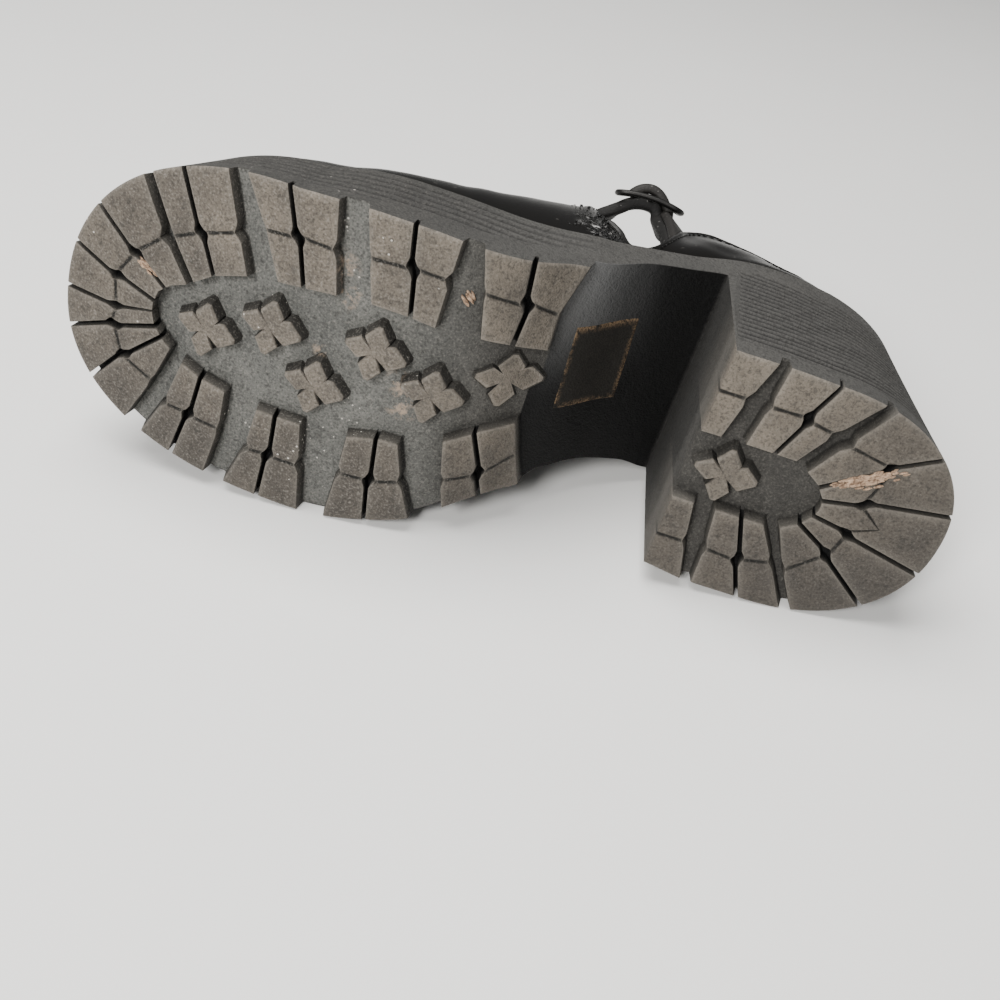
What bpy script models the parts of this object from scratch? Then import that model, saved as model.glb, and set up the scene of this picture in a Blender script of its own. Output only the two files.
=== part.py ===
"""Platform mary jane, left shoe, lying on its medial side.

Shoe axes while the tables are read (mm): x runs from the heel breast to the toe,
y to the lateral side, z up from the tread to the foot.  The root empty then lays
the shoe on its side, so that the sole edge and the upper share one floor plane.
"""
import math

import bpy
import bmesh
import numpy as np
from mathutils import Matrix, Vector

MM = 0.001

# ---- driving dimensions, mm ------------------------------------------------
TOE_TIP = 186.5        # from the heel breast
TOE_START = 120.0      # where the toe curve begins
HEEL_TIP = -73.2
HEEL_START = -29.0
TREAD_DEPTH = 5.0
SLIT = 1.2
DRAFT = 0.9
WALL = 2.0             # thickness of the upper
LEDGE = 2.5            # sole edge showing round the upper
SEAT_GAP = 0.3         # between neighbouring pieces
INSOLE = 3.0
STRAP_THICK = 2.0
BUCKLE_LONG = 24.6      # along the strap
BUCKLE_WIDE = 15.0
BUCKLE_BAR = 1.15      # radius of the frame wire
BUCKLE_ARCH = 1.8      # rise of the frame at its middle
BUCKLE_CENTRE = (29.5, 25.5, 114.0)
BUCKLE_FACE = (0.0, 0.93, 0.36)

# ---- sole plan: tread outline and how far the wall leans out at the top ------
PLAN = ("x", "lateral", "medial", "lean_lat", "lean_med")
PLAN_ROWS = (
    (-29.0, 36.6, -37.4, -1.6, -1.2),
    (-14.0, 37.0, -37.6, 0.2, 0.4),
    (0.0, 36.8, -36.0, 1.0, 0.6),
    (3.7, 37.1, -35.8, 0.6, 0.6),
    (14.0, 37.0, -32.6, 0.2, 1.4),
    (28.0, 37.2, -31.6, 0.2, 2.0),
    (38.0, 37.8, -32.4, 0.0, 1.8),
    (42.0, 38.4, -35.6, -0.2, 1.0),
    (56.0, 39.4, -40.6, -1.6, -0.4),
    (70.0, 40.9, -49.0, -3.0, -0.8),
    (83.0, 41.7, -54.4, -3.4, -0.9),
    (95.0, 41.6, -58.0, -3.3, -0.9),
    (108.0, 41.0, -59.7, -3.9, -0.9),
    (120.0, 40.0, -60.0, -5.8, -1.6),
)
TOE_CURVE = (2.08, 2.40)      # roundness of the toe, lateral and medial
TOE_MIDDLE = -18.0
TOE_LEAN = -10.0
HEEL_CURVE = 2.2
HEEL_MIDDLE = -0.4
HEEL_LEAN = -11.5

# ---- sole profile: feather line on top, underside of the waist ---------------
TOP = ("x", "z")
TOP_ROWS = (
    (-74.0, 65.0), (-50.0, 65.0), (-27.0, 64.2), (-7.0, 61.6), (3.7, 57.8),
    (15.0, 52.5), (28.0, 47.0), (41.0, 41.5), (53.0, 38.6), (65.0, 37.4),
    (88.0, 37.4), (109.0, 37.8), (130.0, 38.6), (160.0, 41.0), (187.0, 44.0),
)
WAIST = ("x", "lateral_z", "medial_z")
WAIST_ROWS = (
    (3.7, 46.4, 51.0), (8.0, 44.8, 48.6), (14.0, 42.0, 45.0), (20.0, 39.4, 41.2),
    (27.0, 35.4, 36.0), (31.5, 31.0, 31.5), (36.0, 26.0, 26.4), (40.2, 21.6, 21.9),
)
TREAD = ("x", "z")
TREAD_ROWS = (
    (41.0, 17.4), (47.0, 14.2), (51.0, 10.9), (55.0, 7.7), (60.0, 4.6), (65.0, 2.3),
    (70.0, 0.7), (74.0, 0.0), (82.0, 0.0), (95.0, 0.4), (110.0, 1.4), (125.0, 2.9),
    (140.0, 5.1), (155.0, 7.9), (170.0, 11.3), (187.0, 15.8),
)

# ---- tread pan: edges of the smooth floor between the lugs -------------------
PAN = ("x", "lateral", "medial")
PAN_ROWS = (
    (157.4, -10.5, -13.5), (156.2, -6.2, -17.6), (152.4, -2.6, -21.4),
    (147.7, -0.2, -25.0), (140.0, 5.9, -27.7), (130.5, 9.9, -29.2),
    (121.0, 12.0, -30.4), (106.0, 14.3, -29.6), (94.5, 15.7, -28.2),
    (84.0, 15.8, -24.9), (77.0, 15.2, -24.6), (66.0, 15.2, -19.8),
    (57.5, 14.1, -15.6), (47.5, 12.0, -12.9), (41.0, 11.4, -12.4),
)
HEEL_PAN_ROWS = (
    (3.0, 11.4, -11.5), (-12.6, 11.8, -11.2), (-26.6, 11.8, -10.9),
    (-31.0, 9.6, -10.2), (-35.0, 7.0, -7.4), (-37.8, 3.4, -3.6),
    (-38.5, 1.2, -1.4),
)

# ---- grooves: outer, middle and inner point of each side ---------------------
GROOVES = ("name", "edge toward the toe", "edge toward the heel")
GROOVE_ROWS = (
    ("lat_toe", ((163.2, 24.4), (155.9, 10.9), (147.7, -0.2)),
     ((160.4, 26.0), (153.2, 12.4), (145.4, 1.2))),
    ("lat_ball", ((139.7, 36.2), (134.5, 21.4), (130.3, 9.9)),
     ((134.3, 37.6), (127.0, 25.1), (121.3, 12.0))),
    ("lat_tread", ((109.1, 40.9), (107.2, 27.1), (104.7, 14.4)),
     ((100.9, 40.0), (97.9, 28.4), (94.9, 15.7))),
    ("lat_rear", ((75.5, 41.2), (76.1, 29.5), (76.7, 15.2)),
     ((69.5, 40.7), (66.6, 28.5), (64.2, 15.2))),
    ("med_toe", ((162.8, -52.6), (155.2, -36.1), (150.1, -22.3)),
     ((157.1, -56.1), (150.3, -40.9), (146.8, -27.4))),
    ("med_ball", ((134.6, -58.6), (131.8, -42.1), (131.7, -29.1)),
     ((127.7, -60.1), (122.8, -44.5), (121.1, -30.4))),
    ("med_tread", ((103.6, -58.4), (105.6, -43.5), (107.5, -29.6)),
     ((94.9, -58.1), (93.7, -40.9), (93.2, -28.1))),
    ("med_rear", ((70.5, -48.0), (74.9, -36.7), (78.4, -24.8)),
     ((61.5, -43.5), (63.9, -33.4), (66.3, -19.8))),
    ("lat_end", ((42.6, 36.6), (46.4, 23.5), (46.3, 11.7)),
     ((36.0, 37.6), (37.0, 23.5), (37.0, 11.7))),
    ("med_end", ((42.6, -34.6), (45.4, -24.9), (48.5, -12.9)),
     ((36.0, -34.0), (37.0, -24.9), (37.0, -12.9))),
    ("heel_lat", ((-11.6, 37.0), (-8.0, 24.7), (-5.5, 11.4)),
     ((-15.1, 37.2), (-14.1, 24.7), (-12.6, 11.9))),
    ("heel_med", ((-11.5, -38.0), (-8.4, -24.5), (-6.2, -11.5)),
     ((-15.1, -37.9), (-14.4, -24.5), (-12.6, -10.8))),
    ("heel_lat_back", ((-41.6, 35.8), (-32.9, 22.9), (-26.8, 11.8)),
     ((-45.1, 34.4), (-37.5, 21.3), (-32.2, 11.6))),
    ("heel_med_back", ((-41.6, -36.2), (-33.6, -22.2), (-26.6, -10.8)),
     ((-44.8, -35.0), (-37.2, -22.6), (-31.4, -10.4))),
)
SLITS = ("name", "outer", "middle", "inner")
SLIT_ROWS = (
    ("lat_a", (151.8, 30.9), (145.3, 16.8), (140.0, 5.9)),
    ("lat_b", (122.7, 40.4), (118.0, 26.7), (114.0, 12.9)),
    ("lat_c", (88.2, 41.8), (86.2, 29.6), (83.8, 15.8)),
    ("lat_d", (56.6, 39.2), (55.1, 26.6), (55.7, 13.7)),
    ("med_a", (146.0, -56.9), (142.0, -41.5), (139.7, -27.7)),
    ("med_b", (116.6, -60.3), (115.4, -44.0), (115.3, -29.0)),
    ("med_c", (82.6, -54.4), (84.1, -39.7), (85.0, -24.8)),
    ("med_d", (52.3, -39.0), (54.3, -30.8), (58.8, -15.7)),
    ("toe_1", (177.3, 11.7), (164.5, 2.3), (154.6, -4.0)),
    ("toe_2", (184.6, -2.6), (169.8, -7.2), (156.6, -9.8)),
    ("toe_3", (186.2, -17.9), (169.3, -17.1), (156.7, -14.3)),
    ("toe_4", (184.8, -31.0), (169.4, -23.2), (155.6, -17.4)),
    ("toe_5", (175.5, -44.2), (165.4, -31.5), (153.8, -20.2)),
    ("heel_lat", (-28.9, 36.8), (-24.8, 24.6), (-20.7, 11.8)),
    ("heel_med", (-28.9, -37.4), (-24.3, -24.6), (-20.2, -11.2)),
    ("heel_back_1", (-61.4, 25.4), (-50.2, 18.0), (-36.0, 6.6)),
    ("heel_back_2", (-71.7, 10.4), (-49.2, 5.7), (-38.2, 2.6)),
    ("heel_back_3", (-71.7, -10.4), (-48.7, -5.0), (-38.0, -2.8)),
    ("heel_back_4", (-62.5, -26.8), (-46.2, -13.5), (-36.0, -7.0)),
)
# ---- cross studs standing on the pan -----------------------------------------
STUDS = ("x", "y", "turn_deg")
STUD_ROWS = (
    (140.6, -11.4, 3.0), (121.6, -2.4, 3.0), (106.3, -15.6, 3.0),
    (91.3, 1.6, 3.0), (73.3, -5.8, 3.0), (54.5, 1.2, 3.0),
    (-10.6, 0.6, 0.0),
)
STUD_REACH = 9.2
STUD_HALF = 3.4
STUD_NOTCH = 1.9

# ---- upper: each profile climbs from the feather line to its rim -------------
# arch 1 = meets the other side over the instep, 0 = ends in the open topline
SIDES = ("base_x", "rim_x", "rim_y", "rim_z", "arch", "bulge", "fullness")
LATERAL_ROWS = (
    (181.0, 152.0, -15.0, 64.5, 1.0, 0.6, 0.62),
    (168.0, 146.0, -14.0, 66.0, 1.0, 0.6, 0.62),
    (150.0, 136.0, -12.0, 68.0, 1.0, 0.6, 0.62),
    (128.0, 120.0, -9.0, 71.0, 1.0, 0.5, 0.60),
    (108.0, 106.0, -7.0, 75.0, 1.0, 0.3, 0.58),
    (92.0, 92.0, -5.0, 80.0, 1.0, 0.0, 0.56),
    (78.0, 77.0, -4.0, 88.0, 1.0, 0.0, 0.55),
    (66.0, 62.0, -3.0, 98.5, 1.0, 0.2, 0.57),
    (57.0, 50.0, -2.0, 107.0, 1.0, 0.4, 0.57),
    (51.5, 45.0, 6.0, 108.0, 0.9, 0.4, 0.57),
    (47.5, 43.4, 15.0, 104.0, 0.7, 0.4, 0.54),
    (44.0, 41.4, 22.4, 95.0, 0.4, 0.5, 0.46),
    (40.5, 38.6, 28.6, 76.0, 0.0, 0.6, 0.34),
    (37.2, 36.0, 33.6, 58.0, 0.0, 0.4, 0.33),
    (34.0, 33.2, 35.4, 49.2, 0.0, 0.2, 0.33),
    (30.5, 30.0, 35.6, 48.4, 0.0, 0.1, 0.33),
    (26.5, 26.2, 35.8, 52.0, 0.0, 0.2, 0.33),
    (22.5, 22.5, 35.4, 61.0, 0.0, 0.4, 0.33),
    (18.5, 18.8, 33.6, 74.0, 0.0, 0.8, 0.34),
    (14.0, 15.2, 30.8, 86.0, 0.0, 1.2, 0.36),
    (6.0, 6.5, 29.2, 94.0, 0.0, 1.6, 0.38),
    (-6.0, -6.0, 28.8, 92.0, 0.0, 1.6, 0.38),
    (-20.0, -20.0, 28.2, 88.0, 0.0, 1.0, 0.38),
    (-36.0, -34.0, 23.6, 88.5, 0.0, 0.6, 0.38),
    (-52.0, -48.0, 16.4, 92.0, 0.0, 0.6, 0.38),
    (-64.0, -57.0, 8.6, 96.0, 0.0, 0.8, 0.38),
    (-71.0, -60.0, 0.0, 98.0, 0.0, 1.0, 0.38),
)
MEDIAL_ROWS = (
    (181.0, 152.0, -15.0, 64.5, 1.0, 0.6, 0.62),
    (168.0, 146.0, -14.0, 66.0, 1.0, 0.6, 0.62),
    (150.0, 136.0, -12.0, 68.0, 1.0, 0.6, 0.62),
    (128.0, 120.0, -9.0, 71.0, 1.0, 0.5, 0.60),
    (108.0, 106.0, -7.0, 75.0, 1.0, 0.3, 0.58),
    (92.0, 92.0, -5.0, 80.0, 1.0, 0.2, 0.56),
    (78.0, 77.0, -4.0, 88.0, 1.0, 0.2, 0.55),
    (66.0, 62.0, -3.0, 98.0, 1.0, 0.2, 0.54),
    (57.0, 50.0, -2.0, 106.0, 1.0, 0.2, 0.53),
    (51.5, 45.0, -9.0, 106.5, 0.9, 0.2, 0.52),
    (47.5, 43.0, -16.0, 101.0, 0.6, 0.4, 0.48),
    (44.0, 41.0, -22.0, 92.0, 0.3, 0.6, 0.40),
    (40.5, 38.6, -27.0, 79.0, 0.0, 0.8, 0.34),
    (37.2, 36.0, -30.0, 67.0, 0.0, 0.6, 0.33),
    (34.0, 33.2, -31.2, 61.0, 0.0, 0.4, 0.33),
    (30.5, 30.0, -31.4, 60.0, 0.0, 0.4, 0.33),
    (26.5, 26.2, -31.4, 62.0, 0.0, 0.6, 0.33),
    (22.5, 22.5, -31.4, 68.0, 0.0, 1.0, 0.33),
    (18.5, 18.8, -31.4, 77.0, 0.0, 1.6, 0.34),
    (14.0, 15.2, -31.0, 86.0, 0.0, 2.4, 0.36),
    (6.0, 6.5, -30.4, 94.0, 0.0, 3.4, 0.38),
    (-6.0, -6.0, -30.0, 93.0, 0.0, 3.9, 0.38),
    (-20.0, -20.0, -28.8, 89.0, 0.0, 3.6, 0.38),
    (-36.0, -34.0, -24.4, 89.5, 0.0, 2.2, 0.38),
    (-52.0, -48.0, -17.2, 92.0, 0.0, 1.2, 0.38),
    (-64.0, -57.0, -9.4, 96.0, 0.0, 1.0, 0.38),
    (-71.0, -60.0, 0.0, 98.0, 0.0, 1.0, 0.38),
)
PROFILE_STEPS = 11
ROW_STEPS = 2

# ---- strap and buckle tab: centre line, half width, way the outer face looks ---
STRAP = ("x", "y", "z", "half_width", "face_x", "face_y", "face_z")
LATERAL_LEG_ROWS = (
    (17.3, 23.0, 77.0, 3.8, -0.35, 0.94, 0.00),
    (18.3, 23.2, 86.0, 3.9, -0.40, 0.91, 0.00),
    (19.9, 23.1, 94.0, 4.2, -0.50, 0.86, 0.05),
    (21.7, 21.9, 102.0, 4.5, -0.60, 0.79, 0.10),
    (24.0, 20.8, 108.6, 4.6, -0.80, 0.58, 0.12),
)
MEDIAL_LEG_ROWS = (
    (40.8, 19.2, 111.0, 4.6, 0.50, 0.76, 0.42),
    (43.6, 15.4, 110.2, 4.6, 0.40, 0.66, 0.63),
    (45.6, 7.0, 112.0, 4.6, 0.20, 0.30, 0.93),
    (44.0, -4.0, 114.4, 4.6, 0.14, -0.14, 0.98),
    (38.0, -16.0, 112.0, 4.6, 0.06, -0.62, 0.78),
    (30.0, -25.0, 101.0, 4.6, 0.00, -0.93, 0.37),
    (24.0, -27.8, 86.0, 4.6, 0.00, -1.00, 0.00),
    (21.6, -27.8, 72.0, 4.6, 0.00, -1.00, 0.00),
)
TAB_LEG_ROWS = (
    (20.0, 24.2, 102.0, 4.4, -0.60, 0.79, 0.10),
    (18.6, 25.4, 94.0, 4.2, -0.50, 0.86, 0.05),
    (17.4, 25.6, 86.0, 3.9, -0.40, 0.91, 0.00),
    (16.6, 25.4, 77.0, 3.8, -0.35, 0.94, 0.00),
)
# from the buckle's centre: along the strap, across it, out of its face
THREAD = ("along", "across", "lift", "face_along", "face_lift")
UNDER_ROWS = (
    (-4.2, -0.6, -3.2, -0.70, 0.70),
    (-2.2, 0.0, -1.0, -0.35, 0.94),
    (1.0, 0.0, -0.6, 0.00, 1.00),
    (4.0, 0.0, -1.2, 0.25, 0.97),
    (6.6, 0.0, -2.4, 0.50, 0.87),
    (8.8, 0.0, -4.2, 0.60, 0.80),
)
OVER_ROWS = (
    (7.0, 0.0, 0.4, 0.80, 0.60),
    (5.8, 0.0, 2.1, 0.75, 0.66),
    (4.0, 0.0, 3.7, 0.50, 0.87),
    (1.6, 0.0, 4.6, 0.10, 0.99),
    (-0.8, 0.0, 4.5, -0.25, 0.97),
    (-3.2, 0.0, 3.3, -0.60, 0.80),
    (-5.4, 0.0, 1.2, -0.80, 0.60),
    (-7.4, -0.6, -1.6, -0.95, 0.30),
    (-8.0, -3.0, -4.2, -0.82, 0.57),
)
THREAD_HALF = 4.6

# ---- the three points that share the floor, mm in shoe axes ------------------
# medial top edge of the sole at the ball, heel tread edge, bulge of the quarter
FLOOR_POINTS = ((103.11, -58.38, 37.65), (-39.58, -36.67, 0.0), (-20.03, -37.50, 71.82))


def table(rows, column):
    """Shape-keeping cubic through one column of a table, as a function of x."""
    data = np.array(sorted((row[0], row[column]) for row in rows), float)
    xs, ys = data[:, 0], data[:, 1]
    step = np.diff(xs)
    slope = np.diff(ys) / step
    tangent = np.empty_like(ys)
    tangent[0], tangent[-1] = slope[0], slope[-1]
    for i in range(1, len(xs) - 1):
        a, b = slope[i - 1], slope[i]
        tangent[i] = 0.0 if a * b <= 0 else 2 * a * b / (a + b)

    def value(x):
        x = np.clip(np.asarray(x, float), xs[0], xs[-1])
        i = np.clip(np.searchsorted(xs, x) - 1, 0, len(xs) - 2)
        t = (x - xs[i]) / step[i]
        return ((1 + 2 * t) * (1 - t) ** 2 * ys[i] + t * (1 - t) ** 2 * step[i] * tangent[i]
                + t * t * (3 - 2 * t) * ys[i + 1] - t * t * (1 - t) * step[i] * tangent[i + 1])
    return value


plan = [table(PLAN_ROWS, column) for column in range(1, 5)]
top_z = table(TOP_ROWS, 1)
waist_z = [table(WAIST_ROWS, 1), table(WAIST_ROWS, 2)]
rocker_z = table(TREAD_ROWS, 1)


def tread_z(x):
    """Height of the lug tops: flat heel, flat ball, rocker to toe and waist."""
    x = np.asarray(x, float)
    return np.where(x < 20.0, 0.0, rocker_z(x))


def edge_y(x, side):
    """Tread outline at x; side 0 is lateral, 1 is medial."""
    x = np.asarray(x, float)
    y = plan[side](x)
    u = np.clip((x - TOE_START) / (TOE_TIP - TOE_START), 0.0, 1.0)
    p = TOE_CURVE[side]
    toe = TOE_MIDDLE + (plan[side](TOE_START) - TOE_MIDDLE) * (1 - u ** p) ** (1 / p)
    u = np.clip((HEEL_START - x) / (HEEL_START - HEEL_TIP), 0.0, 1.0)
    p = HEEL_CURVE
    heel = HEEL_MIDDLE + (plan[side](HEEL_START) - HEEL_MIDDLE) * (1 - u ** p) ** (1 / p)
    return np.where(x > TOE_START, toe, np.where(x < HEEL_START, heel, y))


def edge_lean(x, side):
    """How far the top of the sole wall stands out from the tread outline."""
    lean = plan[2 + side](x)
    toe = np.clip((x - TOE_START) / (TOE_TIP - TOE_START), 0.0, 1.0)
    heel = np.clip((HEEL_START - x) / (HEEL_START - HEEL_TIP), 0.0, 1.0)
    return lean + (TOE_LEAN - lean) * toe + (HEEL_LEAN - lean) * heel


def moved_out(xs, side, distance):
    """Outline points at xs pushed out by distance along the plan normal."""
    xs = np.asarray(xs, float)
    h = 0.05
    ahead = np.clip(xs + h, HEEL_TIP, TOE_TIP)
    behind = np.clip(xs - h, HEEL_TIP, TOE_TIP)
    run = ahead - behind
    rise = edge_y(ahead, side) - edge_y(behind, side)
    sign = 1.0 if side == 0 else -1.0
    normal = np.stack([-sign * rise, sign * run], axis=1)
    normal[xs > TOE_TIP - 1e-6] = (1.0, 0.0)
    normal[xs < HEEL_TIP + 1e-6] = (-1.0, 0.0)
    normal /= np.linalg.norm(normal, axis=1)[:, None]
    points = np.stack([xs, edge_y(xs, side)], axis=1)
    return points + normal * np.asarray(distance, float)[:, None]


# ---- mesh helpers ------------------------------------------------------------
def clear_scene():
    for item in list(bpy.data.objects):
        bpy.data.objects.remove(item, do_unlink=True)


def group(name):
    made = bpy.data.collections.new(name)
    bpy.context.scene.collection.children.link(made)
    return made


def material(name, color, roughness, metallic=0.0):
    made = bpy.data.materials.new(name)
    made.use_nodes = True
    shader = made.node_tree.nodes["Principled BSDF"]
    shader.inputs["Base Color"].default_value = (*color, 1.0)
    shader.inputs["Roughness"].default_value = roughness
    shader.inputs["Metallic"].default_value = metallic
    return made


def solid(name, points, faces, where, smooth=False, split=False):
    """One closed mesh from points in mm, faces turned outward."""
    mesh = bpy.data.meshes.new(name)
    mesh.from_pydata([tuple(p) for p in np.asarray(points, float) * MM], [], faces)
    work = bmesh.new()
    work.from_mesh(mesh)
    bmesh.ops.remove_doubles(work, verts=work.verts, dist=0.00001)
    bmesh.ops.dissolve_degenerate(work, edges=work.edges, dist=0.00001)
    if split:
        bmesh.ops.triangulate(work, faces=work.faces)
    bmesh.ops.recalc_face_normals(work, faces=work.faces)
    work.to_mesh(mesh)
    work.free()
    mesh.polygons.foreach_set("use_smooth", [smooth] * len(mesh.polygons))
    made = bpy.data.objects.new(name, mesh)
    where.objects.link(made)
    return made


def rows_solid(low, high):
    """Closed body between two stacks of (lateral, medial) rows of points."""
    count = len(low)
    points = [p for row in low for p in row] + [p for row in high for p in row]
    off = 2 * count
    faces = []
    for k in range(count - 1):
        a, b, c, d = 2 * k, 2 * k + 1, 2 * k + 3, 2 * k + 2
        faces.append((a, b, c, d))
        faces.append((off + a, off + d, off + c, off + b))
        faces.append((a, d, off + d, off + a))
        faces.append((b, off + b, off + c, c))
    faces.append((0, off, off + 1, 1))
    faces.append((2 * count - 2, 2 * count - 1, off + 2 * count - 1, off + 2 * count - 2))
    return points, faces


def prism(outline_low, outline_high):
    """Closed body between two matching loops of points."""
    n = len(outline_low)
    points = list(outline_low) + list(outline_high)
    faces = [tuple(range(n)), tuple(range(2 * n - 1, n - 1, -1))]
    faces += [(i, (i + 1) % n, n + (i + 1) % n, n + i) for i in range(n)]
    return points, faces


def joined(bodies):
    points, faces = [], []
    for body_points, body_faces in bodies:
        off = len(points)
        points += [tuple(p) for p in body_points]
        faces += [tuple(i + off for i in face) for face in body_faces]
    return points, faces


def boolean(target, cutter, operation):
    step = target.modifiers.new(operation.lower(), "BOOLEAN")
    step.object = cutter
    step.operation = operation
    step.solver = "EXACT"


# ---- sole --------------------------------------------------------------------
def sole_stations():
    angle = np.radians(np.linspace(90.0, 0.0, 14))
    toe = TOE_START + (TOE_TIP - TOE_START) * np.sin(angle)
    middle = [112.0, 103.0, 95.0, 88.0, 82.0, 74.0, 69.0, 64.0, 58.0, 53.0, 48.5, 45.0, 41.4]
    waist = [40.2, 36.0, 31.5, 27.0, 20.0, 14.0, 8.0, 3.7]
    seat = [0.0, -9.5, -19.0]
    heel = HEEL_START - (HEEL_START - HEEL_TIP) * np.sin(angle[::-1])
    return np.concatenate([toe, middle, waist, seat, heel])


def sole_rings(xs):
    """Lower and upper (lateral, medial) rows of the moulded sole."""
    in_waist = (xs > 2.0) & (xs < 41.0)
    low_z = [np.where(in_waist, waist_z[side](xs), tread_z(xs)) for side in (0, 1)]
    low, high = [], []
    tops = [moved_out(xs, side, edge_lean(xs, side)) for side in (0, 1)]
    for k, x in enumerate(xs):
        low.append([(x, edge_y(x, side), low_z[side][k]) for side in (0, 1)])
        high.append([(*tops[side][k], top_z(tops[side][k][0])) for side in (0, 1)])
    return low, high


def pan_body(rows, drop):
    low = [[(x, y, tread_z(x) - drop) for y in (lateral, medial)] for x, lateral, medial in rows]
    shrink = DRAFT
    high = []
    for x, lateral, medial in rows:
        z = tread_z(x) + TREAD_DEPTH
        middle, half = (lateral + medial) / 2, max((lateral - medial) / 2 - shrink, 0.4)
        high.append([(x, middle + half, z), (x, middle - half, z)])
    return rows_solid(low, high)


def groove_body(toe_side, heel_side, reach_out, reach_in):
    """Drafted channel between two three-point edges, open at the sole's side."""
    a, b = np.array(toe_side, float), np.array(heel_side, float)
    for line in (a, b):
        line[0] += (line[0] - line[1]) / np.linalg.norm(line[0] - line[1]) * reach_out
        line[2] += (line[2] - line[1]) / np.linalg.norm(line[2] - line[1]) * reach_in
    gap = np.linalg.norm(a - b, axis=1)
    keep = np.maximum(gap - 2 * DRAFT, gap * 0.55) / gap
    middle = (a + b) / 2
    loop_low = np.concatenate([a, b[::-1]])
    scale = np.concatenate([keep, keep[::-1]])[:, None]
    centre = np.concatenate([middle, middle[::-1]])
    loop_high = centre + (loop_low - centre) * scale
    low = [(x, y, tread_z(x) - 2.0) for x, y in loop_low]
    high = [(x, y, tread_z(x) + TREAD_DEPTH) for x, y in loop_high]
    return prism(low, high)


def slit_body(outer, middle, inner):
    line = np.array([outer, middle, inner], float)
    run = line[2] - line[0]
    across = np.array([-run[1], run[0]]) / np.linalg.norm(run) * SLIT / 2
    return groove_body(line + across, line - across, 6.0, 2.0)


def stud_body(x, y, turn):
    """Four-petalled stud, pointed tips, drafted sides."""
    tip, half, notch = STUD_REACH, STUD_HALF, STUD_NOTCH
    petal = [(notch, -notch), (tip - 2.6, -half), (tip, 0.0), (tip - 2.6, half)]
    loops = []
    for grow, lift in ((-0.45, 0.0), (0.55, TREAD_DEPTH + 1.5)):
        loop = []
        for quarter in range(4):
            spin = math.radians(90 * quarter + turn)
            for px, py in petal:
                r = math.hypot(px, py)
                px, py = px * (r + grow) / r, py * (r + grow) / r
                loop.append((x + px * math.cos(spin) - py * math.sin(spin),
                             y + px * math.sin(spin) + py * math.cos(spin)))
        loops.append([(px, py, tread_z(px) + lift) for px, py in loop])
    return prism(*loops)


def build_sole(parts, cutters):
    sole = solid("sole_unit", *rows_solid(*sole_rings(sole_stations())), parts, split=True)
    pans = joined([pan_body(PAN_ROWS, 2.0), pan_body(HEEL_PAN_ROWS, 2.0)])
    grooves = joined([groove_body(a, b, 6.0, 2.0) for _, a, b in GROOVE_ROWS]
                     + [slit_body(*row[1:]) for row in SLIT_ROWS])
    studs = joined([stud_body(*row) for row in STUD_ROWS])
    for name, body, operation in (("pan_cutter", pans, "DIFFERENCE"),
                                  ("groove_cutter", grooves, "DIFFERENCE"),
                                  ("stud_maker", studs, "UNION")):
        tool = solid(name, *body, cutters, split=True)
        tool.hide_render = True
        tool.display_type = "WIRE"
        boolean(sole, tool, operation)
    return sole


# ---- upper -------------------------------------------------------------------
def dense(rows):
    """Table rows with ROW_STEPS - 1 rows blended in between, smooth in order."""
    data = np.array(rows, float)
    index = np.arange(len(data), dtype=float)
    fine = np.linspace(0, len(data) - 1, (len(data) - 1) * ROW_STEPS + 1)
    columns = [table(list(zip(index, data[:, c])), 1)(fine) for c in range(data.shape[1])]
    return np.stack(columns, axis=1)


def feather_points(xs, side, inset):
    tops = moved_out(xs, side, edge_lean(xs, side) - inset)
    return np.column_stack([tops, top_z(tops[:, 0]) + SEAT_GAP])


def side_surface(rows, side):
    """Grid of points, one cubic profile per row, from feather line to rim."""
    data = dense(rows)
    base_x = data[:, 0].copy()
    reach = data[0, 0]
    base_x = np.where(base_x > TOE_START,
                      TOE_START + (TOE_TIP - TOE_START)
                      * np.sin(np.radians(90) * (base_x - TOE_START) / (reach - TOE_START)),
                      base_x)
    back = data[-1, 0]
    base_x = np.where(base_x < HEEL_START,
                      HEEL_START - (HEEL_START - HEEL_TIP)
                      * np.sin(np.radians(90) * (HEEL_START - base_x) / (HEEL_START - back)),
                      base_x)
    base = feather_points(base_x, side, np.full(len(base_x), LEDGE))
    out = moved_out(base_x, side, np.ones(len(base_x))) - moved_out(base_x, side,
                                                                 np.zeros(len(base_x)))
    grid = []
    for row, foot, normal in zip(data, base, out):
        _, rim_x, rim_y, rim_z, arch, bulge, full = row
        rim = np.array([rim_x, rim_y, rim_z])
        rise = rim_z - foot[2]
        first = foot + np.array([normal[0] * bulge * 2, normal[1] * bulge * 2, full * rise])
        flat = np.array([foot[0] - rim_x, foot[1] - rim_y, 0.0]) * full
        down = np.array([normal[0] * bulge, normal[1] * bulge, -0.36 * rise])
        second = rim + arch * flat + (1 - arch) * down
        t = np.linspace(0.0, 1.0, PROFILE_STEPS)[:, None]
        grid.append((1 - t) ** 3 * foot + 3 * t * (1 - t) ** 2 * first
                    + 3 * t * t * (1 - t) * second + t ** 3 * rim)
    return np.array(grid)


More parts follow.
